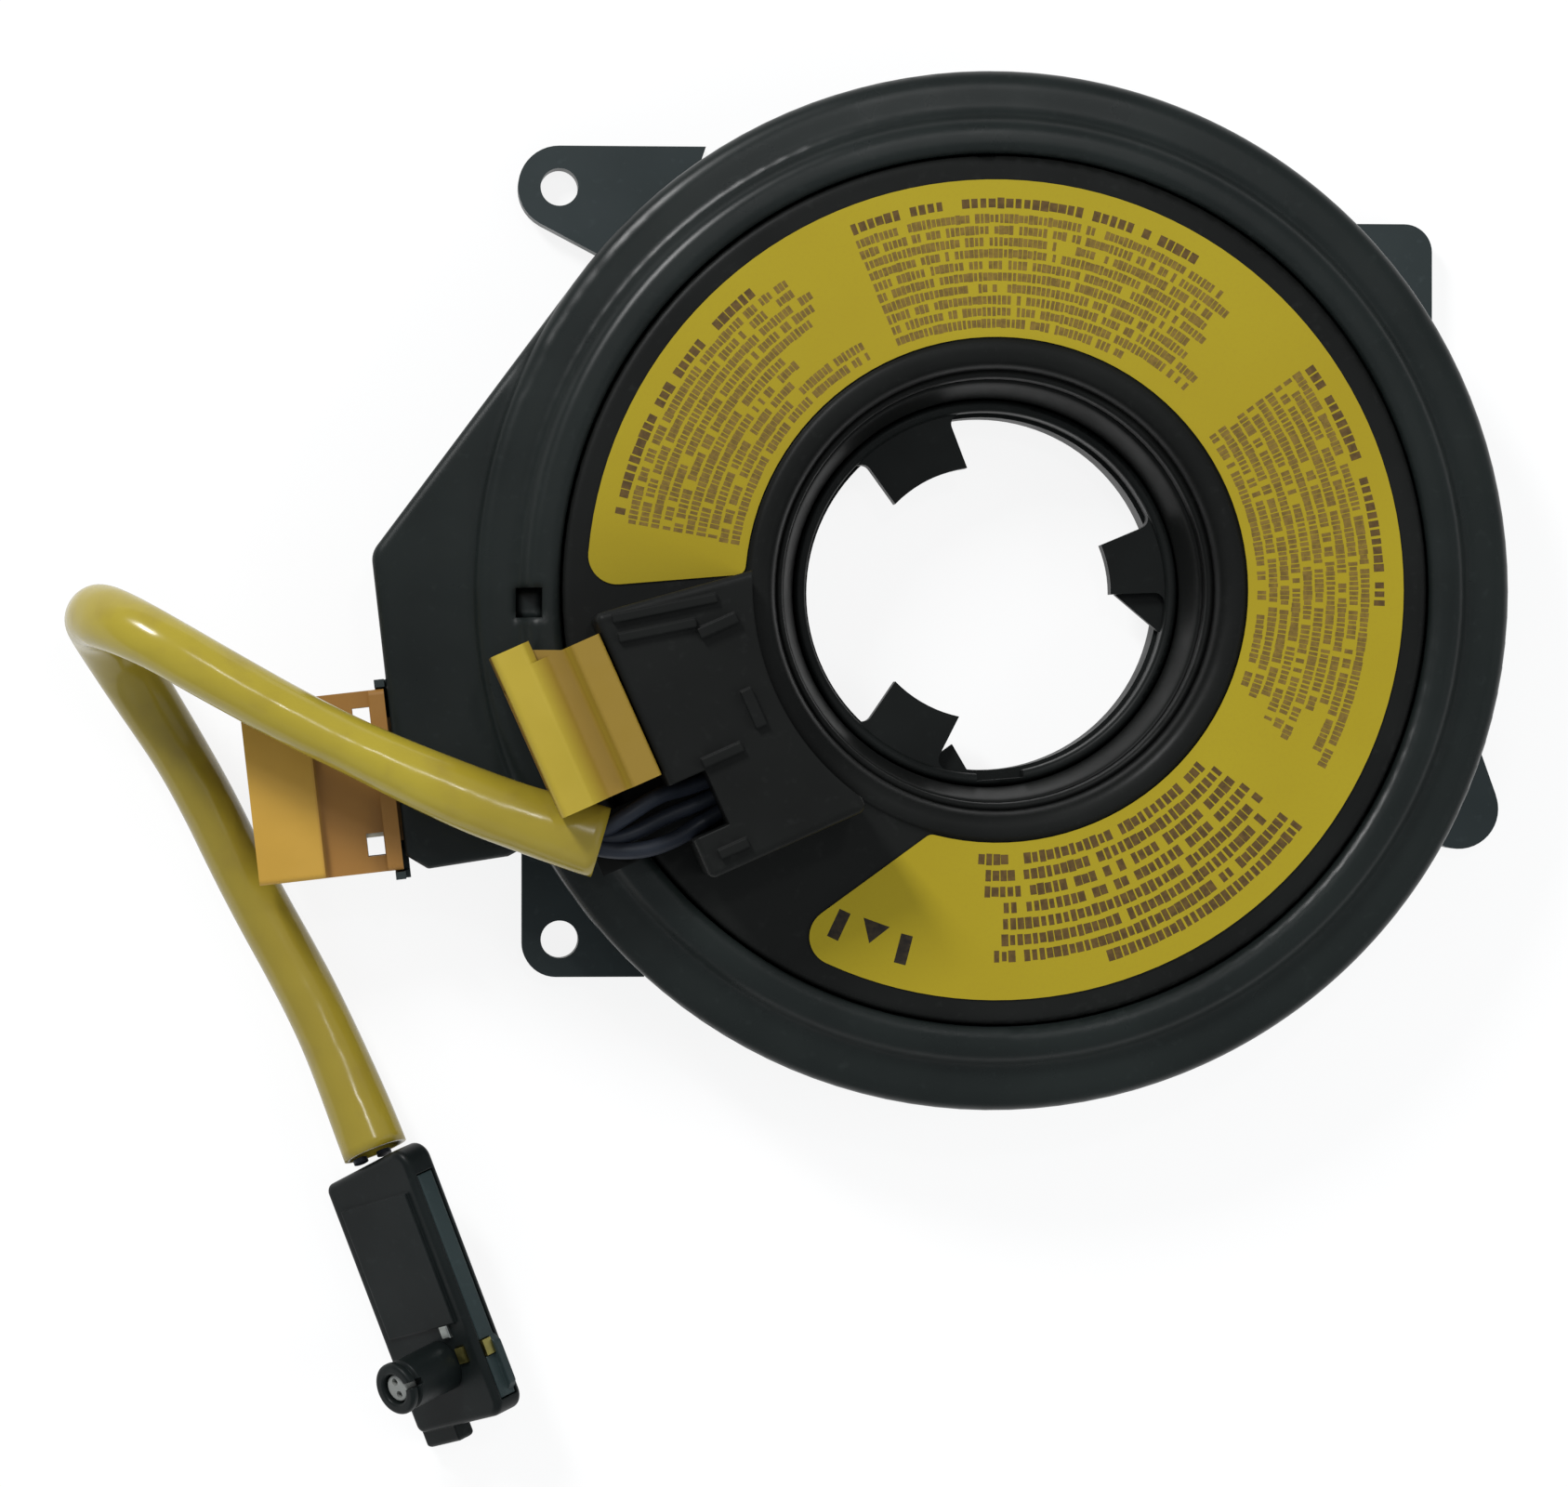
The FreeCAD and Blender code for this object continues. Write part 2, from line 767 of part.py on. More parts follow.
def face_label():
    ring = disc(label_r_out, disc_top, disc_top + label_t)
    ring = ring.cut(disc(label_r_in, disc_top - 1, disc_top + 1))
    start_in = polar(label_r_in, label_start_in_deg)
    start_out = polar(label_r_out, label_start_out_deg)
    end_in = polar(label_r_in, label_end_in_deg)
    end_out = polar(label_r_out, label_end_out_deg)
    # The gap's edges run on past both edges of the ring
    gap = [start_in + (start_in - start_out) * 0.4, start_out + (start_out - start_in),
           end_out + (end_out - end_in), end_in + (end_in - end_out) * 0.2]
    ring = ring.cut(prism([(p.x, p.y, 0) for p in gap] + [(0, 0, 0)], disc_top - 1, disc_top + 1))
    ring = soften(ring, label_corner, lambda e: upright(e) and on_radius(e, label_r_out))
    return soften(ring, label_inner_corner, lambda e: upright(e) and on_radius(e, label_r_in))


def on_radius(edge, r):
    end = edge.Vertexes[0]
    return abs((end.X ** 2 + end.Y ** 2) ** 0.5 - r) < 0.05


# Tower and what sits on it, made along x and then turned to the tower's direction


def sleeve_clearance():
    # The space of the sleeve's first runs, for the notch that it lies in
    route = [lead_route[0] * 2 - lead_route[1]] + lead_route[1:4]
    solid, _, _ = tube(route, sleeve_d + 2 * sleeve_notch)
    return spun(solid, -tower_deg)


def tower_cover():
    inner_v0 = tower_v0 + tower_slant
    outline = [
        (tower_u0 - 3, inner_v0 - tower_slant * 0.2, 0),
        (tower_u1, tower_v0, 0),
        (tower_u1, tower_v1, 0),
        (tower_u0 - 3, tower_v1, 0),
    ]
    body = prism(outline, disc_top, tower_top)
    body = soften(body, tower_round, lambda e: upright(e) or level_at(tower_top)(e))
    room = block(tower_u0 + tower_wall + 1, tower_u1 - tower_wall, inner_v0 + tower_wall,
                 trough_v0 - tower_wall, disc_top - 1, tower_top - tower_wall)
    back_room = block(tower_u0 + tower_wall + 1, trough_u - tower_wall, inner_v0 + tower_wall,
                      tower_v1 - tower_wall, disc_top - 1, tower_top - tower_wall)
    trough = block(trough_u, tower_u1 + 1, trough_v0, trough_v1, trough_floor, tower_top + 1)
    wire_hole = block(trough_u - tower_wall - 3, trough_u + 1, trough_v0 + 0.3, trough_v1 - 0.3,
                      trough_floor, wire_z + wire_d)
    tray = block(tower_u1 - 1, tray_u, trough_v0, trough_v1, trough_floor - tray_t, trough_floor)
    body = body.cut([room.fuse(back_room), trough, wire_hole, disc(rim_r + 0.2, 0, tower_top + 1)])
    rails = []
    lean = degrees(atan2(tower_slant, tower_u1 - tower_u0))
    for u0, u1, v in ((tower_u0 + 1.9, tower_u1 - 1.7, tower_v0 + 0.75),
                      (tower_u0 + 4.9, tower_u1 - 1.5, tower_v0 + 2.8)):
        rail = block(u0 - u1, 0, 0, rail_w, tower_top - 0.1, tower_top + rail_h)
        rail.rotate(V(0, 0, 0), up, -lean)
        rail.translate(V(u1, v, 0))
        rails.append(rail)
    hooks = [block(tower_u0 + 1.2, tower_u0 + 5.4, -9.0, -7.9, tower_top - 0.1, tower_top + 1.0),
             block(tower_u0 + 2.8, tower_u0 + 4.0, -1.4, 2.7, tower_top - 0.1, tower_top + 0.8),
             block(trough_u - 4.4, trough_u, trough_v0 - 1.2, trough_v0 - 0.2,
                   tower_top - 0.1, tower_top + 0.8),
             block(trough_u - 1.0, trough_u + 2.2, trough_v1 + 1.9, trough_v1 + 2.9,
                   tower_top - 0.1, tower_top + 0.8)]
    body = body.fuse([tray] + rails + hooks).cut(sleeve_clearance())
    # It stands on the disc alone and passes over the cover's ring
    over = disc(case_r, 0, ring_top + tower_clear).cut(disc(disc_r - 0.5, 0, ring_top + tower_clear))
    body = body.cut(over)
    tails = switch_pin_set(pin_gap)
    return spun(body.cut(tails).removeSplitter(), tower_deg)


def switch_pin_set(grow):
    middle_v = (switch_v0 + switch_wall + switch_room_v1) / 2
    middle_z = (switch_z0 + switch_valley) / 2
    half = pin_w / 2 + grow
    x0 = tower_u1 - tower_wall - grow
    x1 = tower_u1 + switch_gap + switch_back_t + switch_pin_free + grow
    pins = []
    for v in pin_offsets(switch_pin_count, switch_pin_pitch, middle_v):
        pins.append(block(x0, x1, v - half, v + half, middle_z - half, middle_z + half))
    return Part.makeCompound(pins)


def switch_socket():
    u0 = tower_u1 + switch_gap
    lip_u = switch_u1 - switch_lip_l
    profile = [
        (u0, switch_z0, 0.4),
        (switch_u1, switch_z0, 0.3),
        (switch_u1, tower_top - 0.4, 0.8),
        (lip_u + 0.8, tower_top - 0.2, 0.6),
        (lip_u - 1.2, switch_valley, 0.8),
        (u0 + switch_band_l + 0.8, switch_valley, 0.6),
        (u0 + switch_band_l, tower_top, 0.5),
        (u0, tower_top, 0.4),
    ]
    shell = side_prism(profile, switch_v0, switch_v1)
    flange = [
        (lip_u, switch_z0, 0),
        (switch_u1, switch_z0, 0.3),
        (switch_u1, tower_top - 0.4, 0.8),
        (lip_u + 0.8, tower_top - 0.2, 0.6),
        (lip_u, switch_valley + 0.6, 0),
    ]
    web_u = u0 + switch_band_l + 1.0
    web = prism([(web_u, switch_v0 + 0.5, 0), (web_u, switch_v0, 0), (lip_u + 0.4, switch_lip_v0 + 0.8, 0),
                 (lip_u + 0.4, switch_v0 + 0.5, 0)], switch_z0, switch_valley)
    shell = shell.fuse([side_prism(flange, switch_lip_v0, switch_v0 + 0.5), web])
    room = block(u0 + switch_back_t, switch_u1 + 1, switch_v0 + switch_wall, switch_room_v1,
                 switch_z0 + switch_wall, switch_valley - switch_wall)
    shell = shell.cut(room).cut(sleeve_clearance()).cut(switch_pin_set(pin_gap))
    return spun(shell.removeSplitter(), tower_deg)


def inner_terminal_block():
    # A bracket from the flat cable's inner end, over its turns and up into the tower
    u0 = collar_r_in + collar_wall + block_gap
    profile = [
        (u0, inner_block_z0, 0.3),
        (u0 + inner_block_t, inner_block_z0, 0.3),
        (u0 + inner_block_t, inner_block_arm_z, 0.5),
        (inner_block_arm_u, inner_block_arm_z, 0.3),
        (inner_block_arm_u, inner_block_top, 0.3),
        (inner_block_arm_u - inner_block_t, inner_block_top, 0.3),
        (inner_block_arm_u - inner_block_t, disc_top - disc_t - block_gap, 0),
        (u0 + 1.0, disc_top - disc_t - block_gap, 0.5),
        (u0 + 0.4, disc_top - disc_t - 1.4, 0),
    ]
    body = side_prism(profile, -inner_block_w / 2, inner_block_w / 2)
    return spun(body.cut(disc(u0, 0, disc_top)), tower_deg)


def lead_wires():
    # From the tower's hole to the cut end of the sleeve
    end = spun(Part.Vertex(lead_route[0]), -tower_deg).Point
    first = spun(Part.Vertex(lead_route[1]), -tower_deg).Point
    into = (end - first).normalize()
    across = V(-into.y, into.x, 0).normalize()
    wires = []
    middle_v = (trough_v0 + trough_v1) / 2
    for offset in pin_offsets(wire_count, wire_pitch, 0.0):
        start = V(trough_u - wire_inside, middle_v + offset, wire_z)
        finish = end - across * (offset * 0.95)
        reach = into * 3.5
        bend = V(trough_u + 3.5, middle_v + offset, wire_z)
        solid, _, _ = tube([start, bend, finish + reach, finish + into * 0.05], wire_d)
        wires.append(spun(solid, tower_deg))
    return Part.makeCompound(wires)


# Airbag lead and plug


def lead_sleeve():
    solid, length, radii = tube(lead_route, sleeve_d)
    expected = pi * (sleeve_d / 2) ** 2 * length
    print("sleeve length", round(length, 2), "mm, volume against section x length",
          round(solid.Volume / expected, 5))
    print("sleeve radii", [round(r, 1) for r in radii])
    return solid


def plug_place(shape):
    # Rolled about its own axis, lying with its lowest edge on the surface under the part
    height = plug_w / 2 * sin(radians(plug_roll)) + plug_t / 2 * cos(radians(plug_roll))
    placed = shape.copy()
    placed.rotate(V(0, 0, 0), V(1, 0, 0), plug_roll)
    placed.rotate(V(0, 0, 0), up, plug_deg)
    end = lead_route[-1]
    placed.translate(V(end.x, end.y, height) + polar(plug_gap, plug_deg) + polar(plug_shift, plug_deg + 90))
    return placed


def plug_cover_room(grow):
    x0 = (plug_l - plug_cover_l) / 2 - grow
    return block(x0, plug_l - x0, plug_w / 2 - plug_cover_t - grow, plug_w / 2 + grow,
                 -plug_t / 2 + 0.8 - grow, plug_t / 2 - 0.8 + grow)


def ferrite_room(grow):
    x0 = plug_l * 0.28 - grow
    return block(x0, x0 + ferrite_l + 2 * grow, -plug_w / 2 + plug_wall + 0.4 - grow,
                 plug_w / 2 - plug_cover_t - 0.4 + grow, -plug_t / 2 + plug_wall + 0.2 - grow,
                 plug_t / 2 - plug_wall - 0.2 + grow)


def contact_seats(grow):
    # One contact in the main face and one in the cover's side, both beside the nose
    x0 = nose_at - 0.6 - contact_l / 2 - grow
    x1 = x0 + contact_l + 2 * grow
    y = plug_w / 2 - contact_edge
    seats = [block(x0, x1, y - contact_w / 2 - grow, y + contact_w / 2 + grow,
                   plug_t / 2 - contact_depth, plug_t / 2 + 0.3 - grow),
             block(x0, x1, plug_w / 2 - contact_depth, plug_w / 2 + 0.25 - grow,
                   -0.2 - grow, contact_w - 0.2 + grow)]
    return Part.makeCompound(seats)


def plug_body():
    body = prism([(0, -plug_w / 2, 1.0), (plug_l, -plug_w / 2, 1.0), (plug_l, plug_w / 2, plug_corner),
                  (-plug_slant, plug_w / 2, plug_corner)], -plug_t / 2, plug_t / 2)
    body = soften(body, plug_round, lambda e: level_at(plug_t / 2)(e) or level_at(-plug_t / 2)(e))
    end_lug = block(plug_l - 1.5, plug_l + clip_l, -plug_w / 2, -plug_w / 2 + clip_w,
                    -plug_t / 2 + 0.8, plug_t / 2 - 0.8)
    end_lug = soften(end_lug, 0.5, lambda e: all(v.X > plug_l for v in e.Vertexes))
    step = block(3.0, 17.5, -plug_w / 2 + 1.6, plug_w / 2 - 1.6, plug_t / 2 - 0.1, plug_t / 2 + 0.35)
    body = body.fuse([end_lug, step])
    body = body.cut([plug_cover_room(0.1), ferrite_room(0.15), contact_seats(0.1)])
    return plug_place(body.removeSplitter())


def plug_cover():
    # A hump on its far half gives the fingers a hold
    face = plug_w / 2
    lid = soften(plug_cover_room(0), 0.3, lambda e: all(v.Y > face - 0.01 for v in e.Vertexes))
    hump = prism([(hump_x0, face - 0.4, 0), (hump_x0 + 1.2, face + hump_h, 0.6),
                  (hump_x1 - 1.0, face + hump_h, 0.6), (hump_x1, face - 0.4, 0)], -1.1, -0.2)
    return plug_place(lid.fuse(hump).cut(contact_seats(0.1)).removeSplitter())


def plug_ferrite():
    return plug_place(soften(ferrite_room(0), 0.4, lambda e: abs(
        e.Vertexes[0].X - e.Vertexes[-1].X) > 1))


def plug_nose():
    base = plug_t / 2 + 0.02
    core = turned([
        (0, base, 0),
        (nose_d / 2, base, 0),
        (nose_d / 2, base + nose_l - nose_flange - 0.6, 0),
        (nose_d / 2 - 0.45, base + nose_l - nose_flange - 0.3, 0),
        (nose_d / 2 - 0.45, base + nose_l - nose_flange, 0),
        (nose_d / 2 + 0.1, base + nose_l - nose_flange, 0.2),
        (nose_d / 2 + 0.1, base + nose_l, 0.4),
        (nose_bore, base + nose_l, 0.3),
        (nose_bore, base + nose_l - nose_bore_l, 0),
        (0, base + nose_l - nose_bore_l, 0),
    ])
    slot = block(-0.35, 0.35, 0, nose_d, base + nose_l - 1.8, base + nose_l + 1)
    core = core.cut(slot)
    core.translate(V(nose_at, nose_y, 0))
    return plug_place(core)


def nose_insert():
    # The pale contact block in the nose's bore, with two holes for the inflator's pins
    seat = plug_t / 2 + 0.02 + nose_l - nose_bore_l + 0.02
    core = soften(disc(nose_bore - 0.15, seat, seat + nose_bore_l - 0.5), 0.2,
                  level_at(seat + nose_bore_l - 0.5))
    for x in (-0.7, 0.7):
        core = core.cut(disc(0.4, seat + 0.8, seat + nose_bore_l, x, 0))
    core.translate(V(nose_at, nose_y, 0))
    return plug_place(core)


def plug_contacts():
    return plug_place(contact_seats(0))


def plug_clip():
    # The grey spring clip that shows at the corner above the contacts
    strip = block(nose_at - 4.1, nose_at - 2.7, plug_w / 2 - 4.2, plug_w / 2 - 2.9,
                  plug_t / 2 + 0.02, plug_t / 2 + 0.42)
    return plug_place(soften(strip, 0.15, level_at(plug_t / 2 + 0.42)))


def plug_wires():
    end = lead_route[-1]
    into = (end - lead_route[-2]).normalize()
    wires = []
    height = plug_place(Part.Vertex(V(0, 0, 0))).Point
    side = polar(1.0, plug_deg + 90.0)
    for offset in pin_offsets(2, plug_wire_pitch, 0.0):
        start = end + side * (offset + plug_shift) + into * 0.22
        finish = height + side * offset - polar(plug_slant / 2 + 0.12, plug_deg)
        line = finish - start
        wires.append(Part.makeCylinder(plug_wire_d / 2, line.Length - 0.28, start, line))
    return Part.makeCompound(wires)


nodes = {
    "lower_case": lower_case,
    "upper_cover": upper_cover,
    "slip_sheet": slip_sheet,
    "column_socket": column_socket,
    "column_pins": lambda: column_pin_set(0),
    "outer_terminal_block": outer_terminal_block,
    "ribbon_cable": ribbon_cable,
    "rotor_disc": rotor_disc,
    "rotor_hub": rotor_hub,
    "face_label": face_label,
    "tower_cover": tower_cover,
    "inner_terminal_block": inner_terminal_block,
    "switch_socket": switch_socket,
    "switch_pins": lambda: spun(switch_pin_set(0), tower_deg),
    "lead_wires": lead_wires,
    "lead_sleeve": lead_sleeve,
    "plug_wires": plug_wires,
    "plug_body": plug_body,
    "plug_cover": plug_cover,
    "plug_ferrite": plug_ferrite,
    "plug_nose": plug_nose,
    "nose_insert": nose_insert,
    "plug_contacts": plug_contacts,
    "plug_clip": plug_clip,
}

os.makedirs("parts", exist_ok=True)
for name, make in nodes.items():
    shape = make()
    for solid in shape.Solids:
        if not solid.isValid() or solid.Volume <= 0:
            print("not a sound solid:", name)
    print(name, len(shape.Solids), "solids,", round(shape.Volume, 1), "mm3")
    shape.exportStep("parts/" + name + ".step")
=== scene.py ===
import json
import math

import bmesh
import bpy
from mathutils import Euler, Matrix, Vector


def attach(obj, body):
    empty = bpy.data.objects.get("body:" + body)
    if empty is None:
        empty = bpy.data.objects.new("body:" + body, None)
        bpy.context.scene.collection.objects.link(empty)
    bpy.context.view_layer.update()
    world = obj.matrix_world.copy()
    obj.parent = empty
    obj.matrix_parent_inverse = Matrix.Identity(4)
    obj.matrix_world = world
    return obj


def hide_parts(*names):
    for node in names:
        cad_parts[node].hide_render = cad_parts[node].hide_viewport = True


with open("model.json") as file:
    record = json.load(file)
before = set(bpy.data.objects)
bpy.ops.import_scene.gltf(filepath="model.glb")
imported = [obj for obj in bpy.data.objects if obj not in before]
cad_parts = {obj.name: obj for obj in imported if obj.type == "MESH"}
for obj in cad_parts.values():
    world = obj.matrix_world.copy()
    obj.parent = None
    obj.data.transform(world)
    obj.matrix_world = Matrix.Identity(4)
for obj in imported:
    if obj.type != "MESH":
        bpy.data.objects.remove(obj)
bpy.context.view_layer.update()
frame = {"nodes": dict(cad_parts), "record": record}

mm = 0.001
# Which way the wedge's socket and the tower's socket open, about the hub's axis
wedgeDeg = 186.5
towerDeg = 204.0
print("frame loaded")

# Camera, set to the photograph's view: 0.6 m up, leaning a little from the left
cameraSet = {
    "aim": (-20.86, -15.97, 0.0),
    "distance": 600.0,
    "leanDeg": 3.93,
    "focalPixels": 6024.0,
    "imageWidth": 1687.0,
    "sensorWidth": 36.0,
}


def makeCamera():
    lean = math.radians(cameraSet["leanDeg"])
    data = bpy.data.cameras.new("photoCamera")
    data.sensor_width = cameraSet["sensorWidth"]
    data.lens = cameraSet["sensorWidth"] * cameraSet["focalPixels"] / cameraSet["imageWidth"]
    data.clip_start = 0.02
    data.clip_end = 20.0
    camera = bpy.data.objects.new("photoCamera", data)
    bpy.context.scene.collection.objects.link(camera)
    back = Vector((-math.sin(lean), 0.0, math.cos(lean)))
    camera.location = (Vector(cameraSet["aim"]) + back * cameraSet["distance"]) * mm
    camera.rotation_euler = Euler((0.0, -lean, 0.0))
    bpy.context.scene.camera = camera


makeCamera()
bpy.context.scene.view_settings.view_transform = "Standard"
print("camera set")


# Materials. Every pattern lies in the part's own space, in metres


def newMaterial(name):
    material = bpy.data.materials.new(name)
    material.use_nodes = True
    tree = material.node_tree
    return material, tree, tree.nodes["Principled BSDF"]


def noiseAt(tree, scale, detail=3.0):
    place = tree.nodes.new("ShaderNodeTexCoord")
    noise = tree.nodes.new("ShaderNodeTexNoise")
    noise.inputs["Scale"].default_value = scale
    noise.inputs["Detail"].default_value = detail
    tree.links.new(place.outputs["Object"], noise.inputs["Vector"])
    return noise.outputs["Fac"]


def alongAxis(tree, turnDeg, axis):
    # The place along one axis of a frame that is turned about the hub's axis, in metres
    place = tree.nodes.new("ShaderNodeTexCoord")
    mapping = tree.nodes.new("ShaderNodeMapping")
    mapping.inputs["Rotation"].default_value = (0.0, 0.0, math.radians(-turnDeg))
    split = tree.nodes.new("ShaderNodeSeparateXYZ")
    tree.links.new(place.outputs["Object"], mapping.inputs["Vector"])
    tree.links.new(mapping.outputs["Vector"], split.inputs["Vector"])
    return split.outputs[axis]


def ramped(tree, source, low, high, fromLow=0.35, fromHigh=0.65):
    # From low to high while the source goes from fromLow to fromHigh, and level outside that
    ramp = tree.nodes.new("ShaderNodeMapRange")
    ramp.inputs["From Min"].default_value = fromLow
    ramp.inputs["From Max"].default_value = fromHigh
    ramp.inputs["To Min"].default_value = low
    ramp.inputs["To Max"].default_value = high
    tree.links.new(source, ramp.inputs["Value"])
    return ramp.outputs["Result"]


def combined(tree, operation, first, second):
    # One step of arithmetic on two numbers or sockets
    step = tree.nodes.new("ShaderNodeMath")
    step.operation = operation
    for socket, value in zip(step.inputs, (first, second)):
        if isinstance(value, (int, float)):
            socket.default_value = value
        else:
            tree.links.new(value, socket)
    return step.outputs[0]


def colorBetween(tree, source, first, second):
    mix = tree.nodes.new("ShaderNodeMix")
    mix.data_type = "RGBA"
    for name, value in (("A", first), ("B", second)):
        if isinstance(value, tuple):
            mix.inputs[name].default_value = (*value, 1.0)
        else:
            tree.links.new(value, mix.inputs[name])
    tree.links.new(source, mix.inputs["Factor"])
    return mix.outputs["Result"]


def bumped(tree, height, strength, distance, onto=None):
    bump = tree.nodes.new("ShaderNodeBump")
    bump.inputs["Strength"].default_value = strength
    bump.inputs["Distance"].default_value = distance
    tree.links.new(height, bump.inputs["Height"])
    if onto:
        tree.links.new(onto, bump.inputs["Normal"])
    return bump.outputs["Normal"]


blackSet = {
    "cloudScale": 55.0,
    "dustScale": 900.0,
    "dustAmount": 0.35,
    "scuffScale": 170.0,
    "waveScale": 40.0,
    "waveDepth": 0.0008,
    "grainScale": 2400.0,
    "grainDepth": 0.00005,
    "edgeSamples": 8,
}


def softEdges(tree, radius):
    # Moulded edges are a little round, so they catch the light
    edge = tree.nodes.new("ShaderNodeBevel")
    edge.samples = blackSet["edgeSamples"]
    edge.inputs["Radius"].default_value = radius
    return edge.outputs["Normal"]


def blackPlastic(name, dark, light, rough, grain, specular, edgeRadius):
    # Near-black moulding: soft clouds of tone, dust, scuffs that dull it, a fine grain and slow sink waves
    material, tree, shader = newMaterial(name)
    clouds = ramped(tree, noiseAt(tree, blackSet["cloudScale"], 4.0), 0.0, 1.0)
    dust = ramped(tree, noiseAt(tree, blackSet["dustScale"], 6.0), 0.0, blackSet["dustAmount"], 0.6, 0.8)
    tone = colorBetween(tree, clouds, dark, light)
    dusty = tuple(min(1.0, c * 1.7 + 0.004) for c in light)
    tree.links.new(colorBetween(tree, dust, tone, dusty), shader.inputs["Base Color"])
    smears = ramped(tree, noiseAt(tree, blackSet["scuffScale"], 5.0), *rough)
    tree.links.new(smears, shader.inputs["Roughness"])
    edges = softEdges(tree, edgeRadius) if edgeRadius else None
    sink = noiseAt(tree, blackSet["waveScale"], 1.0)
    waves = bumped(tree, sink, 0.2, blackSet["waveDepth"], edges)
    grains = noiseAt(tree, blackSet["grainScale"], 2.0)
    fine = bumped(tree, grains, grain, blackSet["grainDepth"], waves)
    tree.links.new(fine, shader.inputs["Normal"])
    shader.inputs["Specular IOR Level"].default_value = specular
    return material


labelSet = {
    "tone": (0.305, 0.231, 0.0098),
    "paler": (0.324, 0.254, 0.0114),
    "speck": (0.285, 0.208, 0.014),
    "speckScale": 2600.0,
    "rough": (0.48, 0.6),
}


def labelFilm():
    # A matt printed film, a little uneven in tone and finely speckled
    material, tree, shader = newMaterial("labelFilm")
    clouds = ramped(tree, noiseAt(tree, 38.0, 3.0), 0.0, 1.0)
    specks = ramped(tree, noiseAt(tree, labelSet["speckScale"], 2.0), 0.0, 0.25, 0.5, 0.8)
    tone = colorBetween(tree, clouds, labelSet["tone"], labelSet["paler"])
    tree.links.new(colorBetween(tree, specks, tone, labelSet["speck"]), shader.inputs["Base Color"])
    tree.links.new(ramped(tree, noiseAt(tree, 120.0), *labelSet["rough"]), shader.inputs["Roughness"])
    tree.links.new(bumped(tree, noiseAt(tree, 1800.0, 2.0), 0.08, 0.00003), shader.inputs["Normal"])
    shader.inputs["Specular IOR Level"].default_value = 0.2
    return material


def printInk(name, dark, light):
    # Thin patchy ink
    material, tree, shader = newMaterial(name)
    patchy = ramped(tree, noiseAt(tree, 1500.0, 4.0), 0.0, 1.0)
    tree.links.new(colorBetween(tree, patchy, dark, light), shader.inputs["Base Color"])
    tree.links.new(ramped(tree, noiseAt(tree, 400.0), 0.5, 0.62), shader.inputs["Roughness"])
    shader.inputs["Specular IOR Level"].default_value = 0.2
    return material


vinylSet = {
    "tone": (0.312, 0.243, 0.021),
    "paler": (0.362, 0.288, 0.026),
    "grime": (0.255, 0.188, 0.029),
    # painted shade for the low leg and the end in the tower
    "paintedShade": (0.158, 0.110, 0.019),
    "rough": (0.17, 0.26),
    "dentDepth": 0.0009,
}


def sleeveVinyl():
    # Soft vinyl tube: broad patches, grime, small dents and a faint uneven skin
    material, tree, shader = newMaterial("sleeveVinyl")
    clouds = ramped(tree, noiseAt(tree, 70.0, 3.0), 0.0, 1.0)
    grime = ramped(tree, noiseAt(tree, 240.0, 6.0), 0.0, 0.5, 0.52, 0.78)
    tone = colorBetween(tree, clouds, vinylSet["tone"], vinylSet["paler"])
    worn = colorBetween(tree, grime, tone, vinylSet["grime"])
    # Painted shade: darker where it lies low, and at the end in the tower
    low = ramped(tree, alongAxis(tree, 0.0, "Z"), 0.42, 0.0, 0.006, 0.021)
    near = ramped(tree, alongAxis(tree, 0.0, "X"), 0.0, 0.4, -0.060, -0.043)
    paintedShade = combined(tree, "MAXIMUM", low, near)
    tree.links.new(colorBetween(tree, paintedShade, worn, vinylSet["paintedShade"]), shader.inputs["Base Color"])
    tree.links.new(ramped(tree, noiseAt(tree, 160.0, 4.0), *vinylSet["rough"]), shader.inputs["Roughness"])
    dents = bumped(tree, noiseAt(tree, 130.0, 2.0), 0.35, vinylSet["dentDepth"])
    skin = bumped(tree, noiseAt(tree, 900.0, 2.0), 0.06, 0.00006, dents)
    tree.links.new(skin, shader.inputs["Normal"])
    shader.inputs["Specular IOR Level"].default_value = 0.5
    return material


def socketPlastic(name, tone, shadedTone, shadeMask):
    # Moulded, slightly translucent plastic, with painted shade: it turns browner where the shade mask says
    material, tree, shader = newMaterial(name)
    clouds = ramped(tree, noiseAt(tree, 90.0, 4.0), 0.0, 0.45)
    paler = tuple(min(1.0, c * 1.22 + 0.01) for c in tone)
    base = colorBetween(tree, clouds, tone, paler)
    tree.links.new(colorBetween(tree, shadeMask(tree), base, shadedTone), shader.inputs["Base Color"])
    tree.links.new(ramped(tree, noiseAt(tree, 300.0, 4.0), 0.32, 0.46), shader.inputs["Roughness"])
    sink = bumped(tree, noiseAt(tree, 110.0, 2.0), 0.25, 0.0006)
    fine = bumped(tree, noiseAt(tree, 2600.0, 2.0), 0.08, 0.00004, sink)
    tree.links.new(fine, shader.inputs["Normal"])
    shader.inputs["Specular IOR Level"].default_value = 0.3
    return material


def orangeShadeMask(tree):
    # Painted shade: behind the mouth's band the top is lower and browner, and the lower faces are browner
    # too
    behind = ramped(tree, alongAxis(tree, wedgeDeg, "X"), 0.85, 0.0, 0.0722, 0.0728)
    lowDown = ramped(tree, alongAxis(tree, 0.0, "Z"), 0.75, 0.0, 0.011, 0.0155)
    return combined(tree, "MAXIMUM", behind, lowDown)


def yellowShadeMask(tree):
    # Painted shade: the valley and the band at the tower are browner than the outer band
    valley = ramped(tree, alongAxis(tree, 0.0, "Z"), 1.0, 0.0, 0.0309, 0.0326)
    inner = ramped(tree, alongAxis(tree, towerDeg, "X"), 0.72, 0.0, 0.0433, 0.0446)
    return combined(tree, "MAXIMUM", valley, inner)


